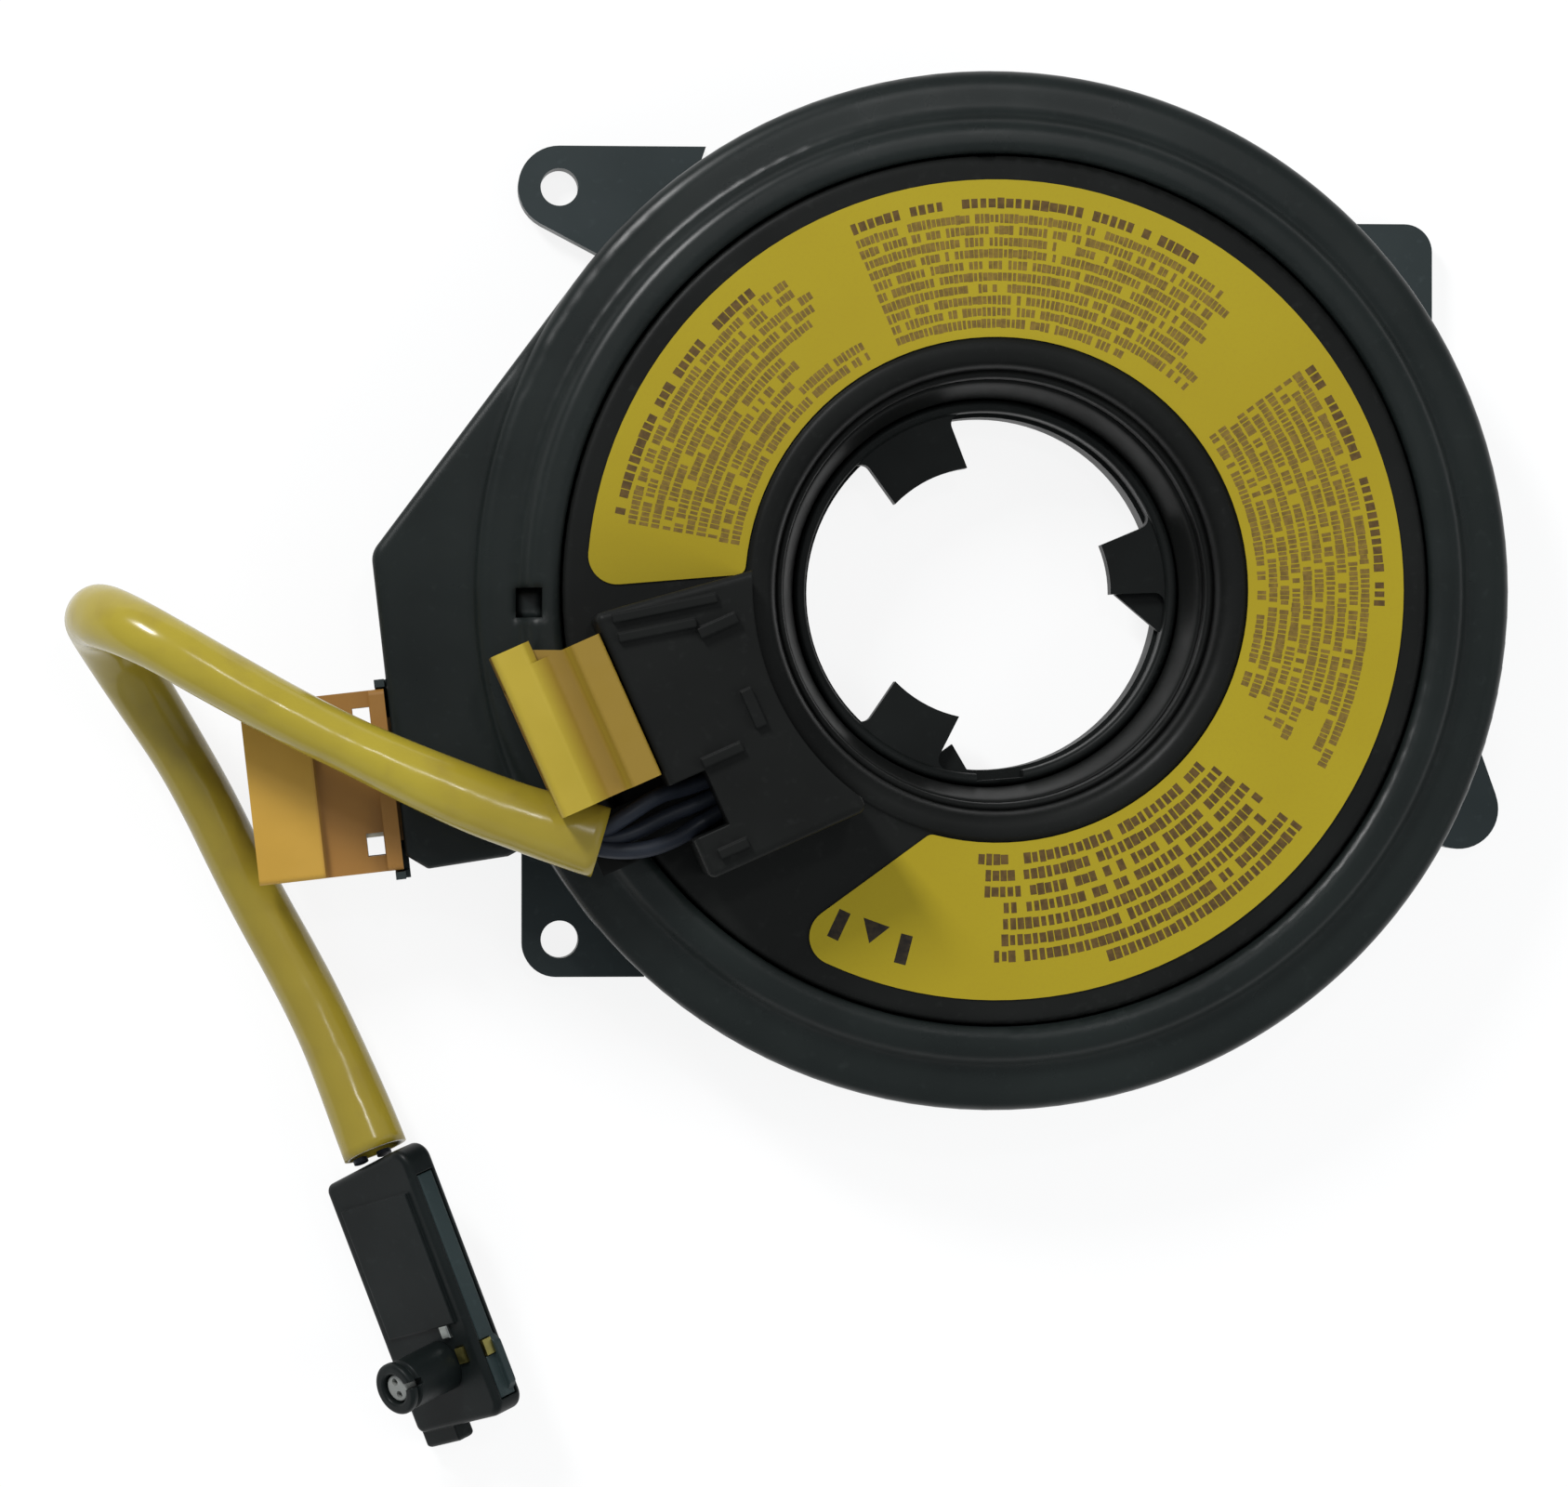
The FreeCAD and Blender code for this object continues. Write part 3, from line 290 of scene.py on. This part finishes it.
def plainPlastic(name, first, second, rough):
    # Two close tones in clouds, uneven gloss and a fine skin
    material, tree, shader = newMaterial(name)
    clouds = ramped(tree, noiseAt(tree, 140.0, 4.0), 0.0, 1.0)
    tree.links.new(colorBetween(tree, clouds, first, second), shader.inputs["Base Color"])
    tree.links.new(ramped(tree, noiseAt(tree, 300.0, 4.0), *rough), shader.inputs["Roughness"])
    tree.links.new(bumped(tree, noiseAt(tree, 1500.0, 2.0), 0.1, 0.00005), shader.inputs["Normal"])
    shader.inputs["Specular IOR Level"].default_value = 0.3
    return material


def platedMetal(name, base, tarnish, rough):
    # Thin plating with duller stains
    material, tree, shader = newMaterial(name)
    stains = ramped(tree, noiseAt(tree, 500.0, 4.0), 0.0, 1.0, 0.45, 0.75)
    tree.links.new(colorBetween(tree, stains, base, tarnish), shader.inputs["Base Color"])
    shader.inputs["Metallic"].default_value = 1.0
    tree.links.new(ramped(tree, noiseAt(tree, 900.0), rough, rough + 0.15), shader.inputs["Roughness"])
    return material


materialFor = {
    "housing_black": blackPlastic(
        "housingBlack", (0.0070, 0.0094, 0.0090), (0.0106, 0.0140, 0.0133),
        rough=(0.27, 0.32), grain=0.02, specular=0.22, edgeRadius=0.0014),
    "rotor_black": blackPlastic(
        "rotorBlack", (0.0066, 0.0070, 0.0067), (0.0096, 0.0103, 0.0098),
        rough=(0.36, 0.46), grain=0.05, specular=0.09, edgeRadius=0.0010),
    "hub_black": blackPlastic(
        "hubBlack", (0.0064, 0.0072, 0.0070), (0.0096, 0.0112, 0.0108),
        rough=(0.38, 0.48), grain=0.03, specular=0.10, edgeRadius=0.0),
    "plug_black": blackPlastic(
        "plugBlack", (0.0048, 0.0066, 0.0066), (0.0078, 0.0105, 0.0104),
        rough=(0.34, 0.46), grain=0.06, specular=0.14, edgeRadius=0.00025),
    "label_mustard": labelFilm(),
    # Both sockets' second tone is painted shade, laid by their shade masks
    "socket_orange": socketPlastic(
        "socketOrange", (0.42, 0.245, 0.036), (0.25, 0.115, 0.030), orangeShadeMask),
    "socket_yellow": socketPlastic(
        "socketYellow", (0.345, 0.258, 0.025), (0.196, 0.112, 0.019), yellowShadeMask),
    "pin_metal": platedMetal("pinTin", (0.72, 0.66, 0.52), (0.5, 0.45, 0.36), 0.25),
    "film": plainPlastic("cableFilm", (0.55, 0.5, 0.38), (0.62, 0.57, 0.44), (0.18, 0.3)),
    "slip_film": plainPlastic("slipFilm", (0.7, 0.7, 0.68), (0.76, 0.76, 0.73), (0.3, 0.4)),
    "sleeve_mustard": sleeveVinyl(),
    "wire_blue": plainPlastic(
        "wireBlue", (0.0150, 0.0190, 0.0280), (0.0210, 0.0265, 0.0380), (0.4, 0.55)),
    "ferrite": plainPlastic("ferriteGrey", (0.03, 0.03, 0.032), (0.05, 0.05, 0.052), (0.5, 0.65)),
    "insert_white": plainPlastic("insertGrey", (0.20, 0.21, 0.20), (0.29, 0.30, 0.28), (0.4, 0.5)),
    "contact_gold": platedMetal("contactGold", (0.42, 0.37, 0.12), (0.27, 0.22, 0.07), 0.3),
    "clip_steel": platedMetal("clipSteel", (0.36, 0.38, 0.36), (0.24, 0.25, 0.23), 0.32),
}
# Pieces that the photograph shows lighter or duller than the rest of their slot
lookFor = {
    "lower_case": blackPlastic(
        "lowerCaseGrey", (0.022, 0.030, 0.031), (0.030, 0.040, 0.042),
        rough=(0.34, 0.46), grain=0.04, specular=0.2, edgeRadius=0.0),
    "tower_cover": blackPlastic(
        "towerBlack", (0.0058, 0.0061, 0.0058), (0.0086, 0.0093, 0.0088),
        rough=(0.38, 0.52), grain=0.06, specular=0.10, edgeRadius=0.0003),
    "plug_cover": blackPlastic(
        "plugCoverGrey", (0.017, 0.027, 0.028), (0.024, 0.036, 0.037),
        rough=(0.34, 0.46), grain=0.05, specular=0.2, edgeRadius=0.00025),
}
inkFor = {
    "text": printInk("labelInk", (0.125, 0.080, 0.019), (0.185, 0.120, 0.024)),
    "heading": printInk("headingInk", (0.070, 0.042, 0.014), (0.110, 0.066, 0.018)),
    "mark": printInk("markInk", (0.014, 0.011, 0.009), (0.030, 0.022, 0.012)),
}


def dressNodes():
    slotOf = {part["node"]: part["material_slot"] for part in frame["record"]["subparts"]}
    for name, node in frame["nodes"].items():
        node.data.materials.clear()
        node.data.materials.append(lookFor.get(name) or materialFor[slotOf[name]])


dressNodes()
print("materials on the CAD pieces")


# Small tools for meshes


def pieceFrom(mesh, name, slot, body, material=None):
    mesh.materials.clear()
    mesh.materials.append(material or materialFor[slot])
    piece = bpy.data.objects.new(name, mesh)
    bpy.context.scene.collection.objects.link(piece)
    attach(piece, body)
    return piece


def smoothLine(name, points, resolution):
    # The points of a smooth curve that has these control points
    data = bpy.data.curves.new(name, "CURVE")
    data.dimensions = "3D"
    data.resolution_u = resolution
    spline = data.splines.new("NURBS")
    spline.points.add(len(points) - 1)
    for place, point in zip(spline.points, points):
        place.co = (*point, 1.0)
    spline.order_u = 3
    spline.use_endpoint_u = True
    holder = bpy.data.objects.new(name, data)
    bpy.context.scene.collection.objects.link(holder)
    bpy.context.view_layer.update()
    mesh = bpy.data.meshes.new_from_object(holder)
    line = [vertex.co.copy() for vertex in mesh.vertices]
    bpy.data.meshes.remove(mesh)
    bpy.data.objects.remove(holder)
    bpy.data.curves.remove(data)
    return line


uprightBelow = 0.35  # a run counts as upright where its level part is shorter than this


def sideways(line):
    # Which way is level and across the line at each of its points, carried on where it runs up or down
    ways = []
    for i, point in enumerate(line):
        ahead = (line[min(i + 1, len(line) - 1)] - line[max(i - 1, 0)]).normalized()
        level = ahead.cross(Vector((0.0, 0.0, 1.0)))
        if level.length < uprightBelow:
            level = None
        ways.append([ahead, level])
    known = [i for i, (ahead, level) in enumerate(ways) if level]
    for i in known:
        ways[i][1].normalize()
    for before, after in zip(known, known[1:]):
        if ways[before][1].dot(ways[after][1]) < 0:
            ways[after][1].negate()
        for i in range(before + 1, after):
            share = (i - before) / (after - before)
            ways[i][1] = ways[before][1].lerp(ways[after][1], share)
    for i, (ahead, level) in enumerate(ways):
        if level is None:
            level = ways[known[0] if i < known[0] else known[-1]][1].copy()
        level = (level - ahead * level.dot(ahead)).normalized()
        ways[i] = (ahead, level, ahead.cross(level))
    return ways


def between(stops, share):
    # A value read from a list of (share, value) pairs, easing from one to the next
    for (at0, value0), (at1, value1) in zip(stops, stops[1:]):
        if share <= at1:
            step = (share - at0) / (at1 - at0)
            step = step * step * (3.0 - 2.0 * step)
            return value0 + (value1 - value0) * step
    return stops[-1][1]


def tubeMesh(name, line, widthAt, heightAt, wall, around):
    # A tube of oval section along the line. With a wall it is hollow and open at both ends
    ways = sideways(line)
    mesh = bmesh.new()
    lengths = [0.0]
    for first, second in zip(line, line[1:]):
        lengths.append(lengths[-1] + (second - first).length)

    def ringsOf(inset):
        rings = []
        for i, point in enumerate(line):
            share = lengths[i] / lengths[-1]
            ahead, level, top = ways[i]
            halfW = widthAt(share) / 2 - inset
            halfH = heightAt(share) / 2 - inset
            ring = []
            for k in range(around):
                a = 2 * math.pi * k / around
                aside = level * (halfW * math.cos(a))
                upward = top * (halfH * math.sin(a))
                ring.append(mesh.verts.new(point + aside + upward))
            rings.append(ring)
        return rings

    def bridge(first, second):
        for k in range(around):
            n = (k + 1) % around
            face = mesh.faces.new((first[k], first[n], second[n], second[k]))
            face.smooth = True

    outer = ringsOf(0.0)
    for first, second in zip(outer, outer[1:]):
        bridge(first, second)
    if wall > 0:
        inner = ringsOf(wall)
        for first, second in zip(inner, inner[1:]):
            bridge(second, first)
        bridge(inner[0], outer[0])
        bridge(outer[-1], inner[-1])
    else:
        mesh.faces.new(list(reversed(outer[0])))
        mesh.faces.new(outer[-1])
    bmesh.ops.recalc_face_normals(mesh, faces=mesh.faces)
    data = bpy.data.meshes.new(name)
    mesh.to_mesh(data)
    mesh.free()
    return data


# Airbag lead: a soft tube that lies flatter where it is pressed or bent, with three wires in it
sleeveSet = {
    "route": [
        (-0.0414, -0.0261, 0.0255), (-0.0500, -0.0236, 0.0254), (-0.0606, -0.0192, 0.0250),
        (-0.0715, -0.0140, 0.0248), (-0.0802, -0.0092, 0.0252), (-0.0876, -0.0049, 0.0250),
        (-0.0934, -0.0024, 0.0192), (-0.0934, -0.0036, 0.0100), (-0.0900, -0.0092, 0.0034),
        (-0.0834, -0.0196, 0.0033), (-0.0779, -0.0310, 0.0033), (-0.0718, -0.0419, 0.0033),
        (-0.0676, -0.0510, 0.0043), (-0.0645, -0.0590, 0.0062),
    ],
    "diameter": 0.0064,
    "tallest": 0.0065,
    "wall": 0.0005,
    "around": 40,
    "steps": 16,
    "width": [(0.0, 0.0074), (0.08, 0.0068), (0.22, 0.0058), (0.36, 0.0060), (0.44, 0.0066),
              (0.56, 0.0066), (0.66, 0.0060), (0.88, 0.0062), (1.0, 0.0069)],
}


def sleeveWidth(share):
    return between(sleeveSet["width"], share)


def sleeveHeight(share):
    # The flatter, the wider, and never taller than the room over the floor
    return min(2 * sleeveSet["diameter"] - sleeveWidth(share), sleeveSet["tallest"])


def makeSleeve():
    route = [Vector(point) for point in sleeveSet["route"]]
    line = smoothLine("sleeveLine", route, sleeveSet["steps"])
    data = tubeMesh("leadSleeveSoft", line, sleeveWidth, sleeveHeight,
                    sleeveSet["wall"], sleeveSet["around"])
    sleeve = pieceFrom(data, "leadSleeveSoft", "sleeve_mustard", "rotor")
    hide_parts("lead_sleeve")
    return sleeve, line


sleeve, sleeveLine = makeSleeve()
print("sleeve made,", len(sleeveLine), "points")


def towerPoint(u, v, z):
    # From the tower's own frame in mm: u outwards, v down the picture, z up
    turn = math.radians(towerDeg)
    x = u * math.cos(turn) - v * math.sin(turn)
    y = u * math.sin(turn) + v * math.cos(turn)
    return Vector((x, y, z)) * mm


# Three wires from the tower into the sleeve, in the tower's own frame
wireSet = {
    "diameter": 0.0017,
    "around": 14,
    "steps": 8,
    "paths": [
        [(34.9, 5.7, 24.5), (37.6, 5.6, 24.6), (41.0, 4.9, 25.9), (45.0, 5.6, 26.6),
         (48.4, 6.1, 26.0), (50.6, 4.3, 25.8)],
        [(34.9, 7.4, 24.5), (37.8, 7.5, 24.4), (41.4, 7.3, 24.5), (45.4, 7.6, 25.4),
         (48.5, 6.9, 25.2), (51.0, 4.8, 25.0)],
        [(34.9, 9.1, 24.5), (37.8, 9.3, 24.5), (41.2, 9.9, 25.3), (44.8, 9.6, 26.2),
         (48.6, 7.9, 25.8), (51.0, 5.8, 25.7)],
    ],
}


def wireThickness(share):
    return wireSet["diameter"]


def makeWires():
    whole = bmesh.new()
    for path in wireSet["paths"]:
        line = smoothLine("wireLine", [towerPoint(*point) for point in path], wireSet["steps"])
        part = tubeMesh("wirePart", line, wireThickness, wireThickness, 0.0, wireSet["around"])
        whole.from_mesh(part)
        bpy.data.meshes.remove(part)
    data = bpy.data.meshes.new("leadWiresSoft")
    whole.to_mesh(data)
    whole.free()
    wires = pieceFrom(data, "leadWiresSoft", "wire_blue", "rotor")
    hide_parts("lead_wires")
    return wires


wires = makeWires()
print("lead set on its route")


# Studio: a pale floor, an even world and soft lamps, the strongest from the upper left and a small one
# overhead that draws the streak on the cover's ring
studio = {
    "worldColor": (0.92, 0.96, 1.0, 1.0),
    "worldStrength": 0.42,
    "floorColor": (0.88, 0.89, 0.90, 1.0),
    "floorLift": 0.85,
    "floorGlow": 1.02,
    "floorHalf": 3.0,
    "floorDrop": 0.02 * mm,
    "lamps": [
        {"name": "keySoftbox", "at": (-0.40, 0.50, 0.56), "wide": 0.12, "long": 0.24,
         "watts": 5.2, "glossy": True},
        {"name": "sideFill", "at": (0.62, -0.10, 0.50), "wide": 0.45, "long": 0.45,
         "watts": 2.5, "glossy": False},
        {"name": "lowFill", "at": (-0.20, -0.70, 0.42), "wide": 0.40, "long": 0.40,
         "watts": 1.1, "glossy": False},
        {"name": "topSpark", "at": (0.054, 0.23, 0.777), "wide": 0.05, "long": 0.05,
         "watts": 0.38, "glossy": True},
    ],
}


def makeStudio():
    world = bpy.data.worlds.new("studioWorld")
    bpy.context.scene.world = world
    world.use_nodes = True
    soft = world.node_tree.nodes["Background"]
    soft.inputs["Color"].default_value = studio["worldColor"]
    soft.inputs["Strength"].default_value = studio["worldStrength"]

    for lamp in studio["lamps"]:
        data = bpy.data.lights.new(lamp["name"], "AREA")
        data.shape = "RECTANGLE"
        data.size = lamp["wide"]
        data.size_y = lamp["long"]
        data.energy = lamp["watts"]
        light = bpy.data.objects.new(lamp["name"], data)
        light.location = lamp["at"]
        light.visible_glossy = lamp["glossy"]
        light.rotation_euler = (-Vector(lamp["at"])).to_track_quat("-Z", "Y").to_euler()
        bpy.context.scene.collection.objects.link(light)

    mesh = bpy.data.meshes.new("studioFloor")
    half = studio["floorHalf"]
    corners = [(-half, -half, 0), (half, -half, 0), (half, half, 0), (-half, half, 0)]
    mesh.from_pydata(corners, [], [(0, 1, 2, 3)])
    floor = bpy.data.objects.new("studioFloor", mesh)
    floor.location.z = -studio["floorDrop"]
    bpy.context.scene.collection.objects.link(floor)
    # White where the camera, a reflection or a clear surface shows it, and it keeps part of the shadow
    material, tree, shader = newMaterial("paleFloor")
    shader.inputs["Base Color"].default_value = studio["floorColor"]
    shader.inputs["Roughness"].default_value = 0.9
    path = tree.nodes.new("ShaderNodeLightPath")
    seen = combined(tree, "MAXIMUM", path.outputs["Is Camera Ray"], path.outputs["Is Glossy Ray"])
    seen = combined(tree, "MAXIMUM", seen, path.outputs["Is Transmission Ray"])
    glow = tree.nodes.new("ShaderNodeEmission")
    glow.inputs["Color"].default_value = (1.0, 1.0, 1.0, 1.0)
    glow.inputs["Strength"].default_value = studio["floorGlow"]
    mix = tree.nodes.new("ShaderNodeMixShader")
    tree.links.new(combined(tree, "MULTIPLY", seen, studio["floorLift"]), mix.inputs[0])
    tree.links.new(shader.outputs[0], mix.inputs[1])
    tree.links.new(glow.outputs[0], mix.inputs[2])
    tree.links.new(mix.outputs[0], tree.nodes["Material Output"].inputs["Surface"])
    mesh.materials.append(material)


makeStudio()
print("studio set")


# Label print: rows of small plain blocks where the real label has its text
printSet = {
    "face": 0.0197,
    "thick": 0.00003,
    "fill": 0.88,
    "wordGap": 0.13,
    "widths": (0.68, 1.1),
    "heights": (0.82, 1.06),
    "body": {"pitch": 0.00121, "letter": 0.00051, "height": 0.00092, "ragged": 3.5, "ink": "text"},
    "bold": {"pitch": 0.00168, "letter": 0.00080, "height": 0.00118, "ragged": 3.5, "ink": "heading"},
    "title": {"pitch": 0.00100, "letter": 0.00092, "height": 0.00108, "ragged": 0.5, "ink": "heading"},
    "groups": [
        {"kind": "title", "fromDeg": 169.0, "toDeg": 129.0, "outer": 0.0400, "rows": 1, "seed": 5},
        {"kind": "body", "fromDeg": 170.0, "toDeg": 121.5, "outer": 0.0386, "rows": 5, "seed": 11},
        {"kind": "body", "fromDeg": 170.0, "toDeg": 131.5, "outer": 0.03255, "rows": 3, "seed": 12},
        {"kind": "body", "fromDeg": 170.4, "toDeg": 118.5, "outer": 0.02892, "rows": 2, "seed": 13},
        {"kind": "title", "fromDeg": 112.4, "toDeg": 58.0, "outer": 0.0402, "rows": 1, "seed": 17},
        {"kind": "body", "fromDeg": 112.4, "toDeg": 49.5, "outer": 0.0386, "rows": 7, "seed": 23},
        {"kind": "body", "fromDeg": 112.4, "toDeg": 44.5, "outer": 0.03013, "rows": 2, "seed": 24},
        {"kind": "body", "fromDeg": 112.4, "toDeg": 60.0, "outer": 0.02771, "rows": 1, "seed": 25},
        {"kind": "title", "fromDeg": 35.6, "toDeg": -3.0, "outer": 0.0401, "rows": 1, "seed": 9},
        {"kind": "body", "fromDeg": 35.9, "toDeg": -30.0, "outer": 0.0386, "rows": 2, "seed": 37},
        {"kind": "body", "fromDeg": 35.9, "toDeg": -22.0, "outer": 0.03618, "rows": 2, "seed": 38},
        {"kind": "body", "fromDeg": 35.9, "toDeg": -29.0, "outer": 0.03376, "rows": 3, "seed": 39},
        {"kind": "body", "fromDeg": 35.9, "toDeg": -24.0, "outer": 0.03013, "rows": 3, "seed": 40},
        {"kind": "bold", "fromDeg": -37.5, "toDeg": -76.0, "outer": 0.0398, "rows": 1, "seed": 41},
        {"kind": "bold", "fromDeg": -37.8, "toDeg": -92.0, "outer": 0.03812, "rows": 4, "seed": 42},
        {"kind": "bold", "fromDeg": -38.6, "toDeg": -95.5, "outer": 0.0314, "rows": 3, "seed": 43},
    ],
}


def printTree():
    # Rows of blocks on arcs about the hub's axis. Gaps between words, ragged row ends and sizes are random
    tree = bpy.data.node_groups.new("printRows", "GeometryNodeTree")
    face = tree.interface
    face.new_socket("Geometry", in_out="INPUT", socket_type="NodeSocketGeometry")
    for name in ("From Angle", "To Angle", "Outer Radius", "Row Pitch", "Letter Pitch", "Letter Height",
                 "Ragged Angle", "Face Height", "Thickness"):
        face.new_socket(name, in_out="INPUT", socket_type="NodeSocketFloat")
    for name in ("Rows", "Columns", "Seed"):
        face.new_socket(name, in_out="INPUT", socket_type="NodeSocketInt")
    face.new_socket("Ink", in_out="INPUT", socket_type="NodeSocketMaterial")
    face.new_socket("Geometry", in_out="OUTPUT", socket_type="NodeSocketGeometry")
    given = tree.nodes.new("NodeGroupInput").outputs
    made = tree.nodes.new("NodeGroupOutput").inputs

    def calc(operation, first, second=0.0):
        return combined(tree, operation, first, second)

    def chance(low, high, shift, identity=None):
        # A random number for each point, from the group's seed moved by the shift
        node = tree.nodes.new("FunctionNodeRandomValue")
        node.data_type = "FLOAT"
        node.inputs[2].default_value = low
        node.inputs[3].default_value = high
        tree.links.new(calc("ADD", given["Seed"], shift), node.inputs["Seed"])
        if identity is not None:
            tree.links.new(identity, node.inputs["ID"])
        return node.outputs[1]

    index = tree.nodes.new("GeometryNodeInputIndex").outputs[0]
    row = calc("FLOOR", calc("DIVIDE", index, given["Columns"]))
    column = calc("SUBTRACT", index, calc("MULTIPLY", row, given["Columns"]))
    radius = calc("SUBTRACT", given["Outer Radius"], calc("MULTIPLY", row, given["Row Pitch"]))
    step = calc("DIVIDE", given["Letter Pitch"], radius)
    angle = calc("SUBTRACT", given["From Angle"], calc("MULTIPLY", calc("ADD", column, 0.5), step))
    place = tree.nodes.new("ShaderNodeCombineXYZ")
    tree.links.new(calc("MULTIPLY", radius, calc("COSINE", angle)), place.inputs["X"])
    tree.links.new(calc("MULTIPLY", radius, calc("SINE", angle)), place.inputs["Y"])
    tree.links.new(given["Face Height"], place.inputs["Z"])
    points = tree.nodes.new("GeometryNodePoints")
    tree.links.new(calc("MULTIPLY", given["Rows"], given["Columns"]), points.inputs["Count"])
    tree.links.new(place.outputs[0], points.inputs["Position"])
    ragged = calc("MULTIPLY", given["Ragged Angle"], chance(0.0, 1.0, 100, row))
    past = calc("LESS_THAN", angle, calc("ADD", given["To Angle"], ragged))
    space = calc("LESS_THAN", chance(0.0, 1.0, 200, index), printSet["wordGap"])
    drop = tree.nodes.new("GeometryNodeDeleteGeometry")
    drop.domain = "POINT"
    tree.links.new(points.outputs[0], drop.inputs["Geometry"])
    tree.links.new(calc("MAXIMUM", past, space), drop.inputs["Selection"])
    block = tree.nodes.new("GeometryNodeMeshCube")
    size = tree.nodes.new("ShaderNodeCombineXYZ")
    tree.links.new(calc("MULTIPLY", given["Letter Pitch"], printSet["fill"]), size.inputs["X"])
    tree.links.new(given["Letter Height"], size.inputs["Y"])
    tree.links.new(given["Thickness"], size.inputs["Z"])
    tree.links.new(size.outputs[0], block.inputs["Size"])
    spread = tree.nodes.new("GeometryNodeInstanceOnPoints")
    tree.links.new(drop.outputs[0], spread.inputs["Points"])
    tree.links.new(block.outputs["Mesh"], spread.inputs["Instance"])
    spot = tree.nodes.new("GeometryNodeInputPosition")
    parts = tree.nodes.new("ShaderNodeSeparateXYZ")
    tree.links.new(spot.outputs[0], parts.inputs[0])
    turn = tree.nodes.new("ShaderNodeCombineXYZ")
    bearing = calc("ARCTAN2", parts.outputs["Y"], parts.outputs["X"])
    tree.links.new(calc("SUBTRACT", bearing, math.pi / 2), turn.inputs["Z"])
    euler = tree.nodes.new("FunctionNodeEulerToRotation")
    tree.links.new(turn.outputs[0], euler.inputs[0])
    tree.links.new(euler.outputs[0], spread.inputs["Rotation"])
    grow = tree.nodes.new("ShaderNodeCombineXYZ")
    tree.links.new(chance(*printSet["widths"], 300), grow.inputs["X"])
    tree.links.new(chance(*printSet["heights"], 400), grow.inputs["Y"])
    grow.inputs["Z"].default_value = 1.0
    tree.links.new(grow.outputs[0], spread.inputs["Scale"])
    real = tree.nodes.new("GeometryNodeRealizeInstances")
    ink = tree.nodes.new("GeometryNodeSetMaterial")
    tree.links.new(spread.outputs[0], real.inputs[0])
    tree.links.new(real.outputs[0], ink.inputs["Geometry"])
    tree.links.new(given["Ink"], ink.inputs["Material"])
    tree.links.new(ink.outputs[0], made["Geometry"])
    return tree


def grownMesh(tree, values, name):
    # What the tree makes with these values, as a plain mesh
    holder = bpy.data.objects.new(name, bpy.data.meshes.new(name))
    bpy.context.scene.collection.objects.link(holder)
    modifier = holder.modifiers.new("grow", "NODES")
    modifier.node_group = tree
    for socket in tree.interface.items_tree:
        if socket.item_type == "SOCKET" and socket.in_out == "INPUT" and socket.name in values:
            modifier[socket.identifier] = values[socket.name]
    graph = bpy.context.evaluated_depsgraph_get()
    mesh = bpy.data.meshes.new_from_object(holder.evaluated_get(graph))
    holder.modifiers.clear()
    bpy.data.objects.remove(holder)
    return mesh


def makePrint(name, tree, ink):
    # One mesh of all the groups that have this ink
    whole = bmesh.new()
    for group in printSet["groups"]:
        kind = printSet[group["kind"]]
        if kind["ink"] != ink:
            continue
        span = math.radians(group["fromDeg"] - group["toDeg"])
        values = {
            "From Angle": math.radians(group["fromDeg"]),
            "To Angle": math.radians(group["toDeg"]),
            "Outer Radius": group["outer"],
            "Row Pitch": kind["pitch"],
            "Letter Pitch": kind["letter"],
            "Letter Height": kind["height"],
            "Ragged Angle": math.radians(kind["ragged"]),
            "Face Height": printSet["face"],
            "Thickness": printSet["thick"],
            "Rows": group["rows"],
            "Columns": int(span * group["outer"] / kind["letter"]) + 1,
            "Seed": group["seed"],
            "Ink": inkFor[ink],
        }
        part = grownMesh(tree, values, "printPart")
        whole.from_mesh(part)
        bpy.data.meshes.remove(part)
    data = bpy.data.meshes.new(name)
    whole.to_mesh(data)
    whole.free()
    print(name + ",", len(data.polygons), "faces")
    return pieceFrom(data, name, "label_mustard", "rotor", inkFor[ink])


rowTree = printTree()
makePrint("labelPrint", rowTree, "text")
makePrint("labelHeadings", rowTree, "heading")

# Setting marks at the label's end: a bar, a triangle that points outwards and a bar. Each has its radius
# in mm, its angle, its length outwards and its width
markSet = {
    "bars": [(38.5, 244.6, 3.1, 1.25), (38.6, 255.3, 3.1, 1.25)],
    "arrow": (37.9, 250.0, 2.3, 2.9),
    "face": 19.7,
    "thick": 0.03,
}


def makeMarks():
    mesh = bmesh.new()

    def slab(outline, deg):
        # A thin flat piece on the label, outlined by places outwards and across at this angle
        turn = math.radians(deg)
        rings = []
        for z in (markSet["face"] - markSet["thick"], markSet["face"] + markSet["thick"] / 2):
            ring = []
            for r, t in outline:
                x = r * math.cos(turn) - t * math.sin(turn)
                y = r * math.sin(turn) + t * math.cos(turn)
                ring.append(mesh.verts.new((x * mm, y * mm, z * mm)))
            rings.append(ring)
        low, high = rings
        count = len(outline)
        mesh.faces.new(high)
        mesh.faces.new(list(reversed(low)))
        for k in range(count):
            n = (k + 1) % count
            mesh.faces.new((low[k], low[n], high[n], high[k]))

    for r, deg, length, width in markSet["bars"]:
        slab([(r - length / 2, -width / 2), (r + length / 2, -width / 2),
              (r + length / 2, width / 2), (r - length / 2, width / 2)], deg)
    r, deg, length, width = markSet["arrow"]
    slab([(r - length / 2, -width / 2), (r + length / 2, 0.0), (r - length / 2, width / 2)], deg)
    bmesh.ops.recalc_face_normals(mesh, faces=mesh.faces)
    data = bpy.data.meshes.new("labelMarks")
    mesh.to_mesh(data)
    mesh.free()
    return pieceFrom(data, "labelMarks", "label_mustard", "rotor", inkFor["mark"])


makeMarks()
print("label marks made")
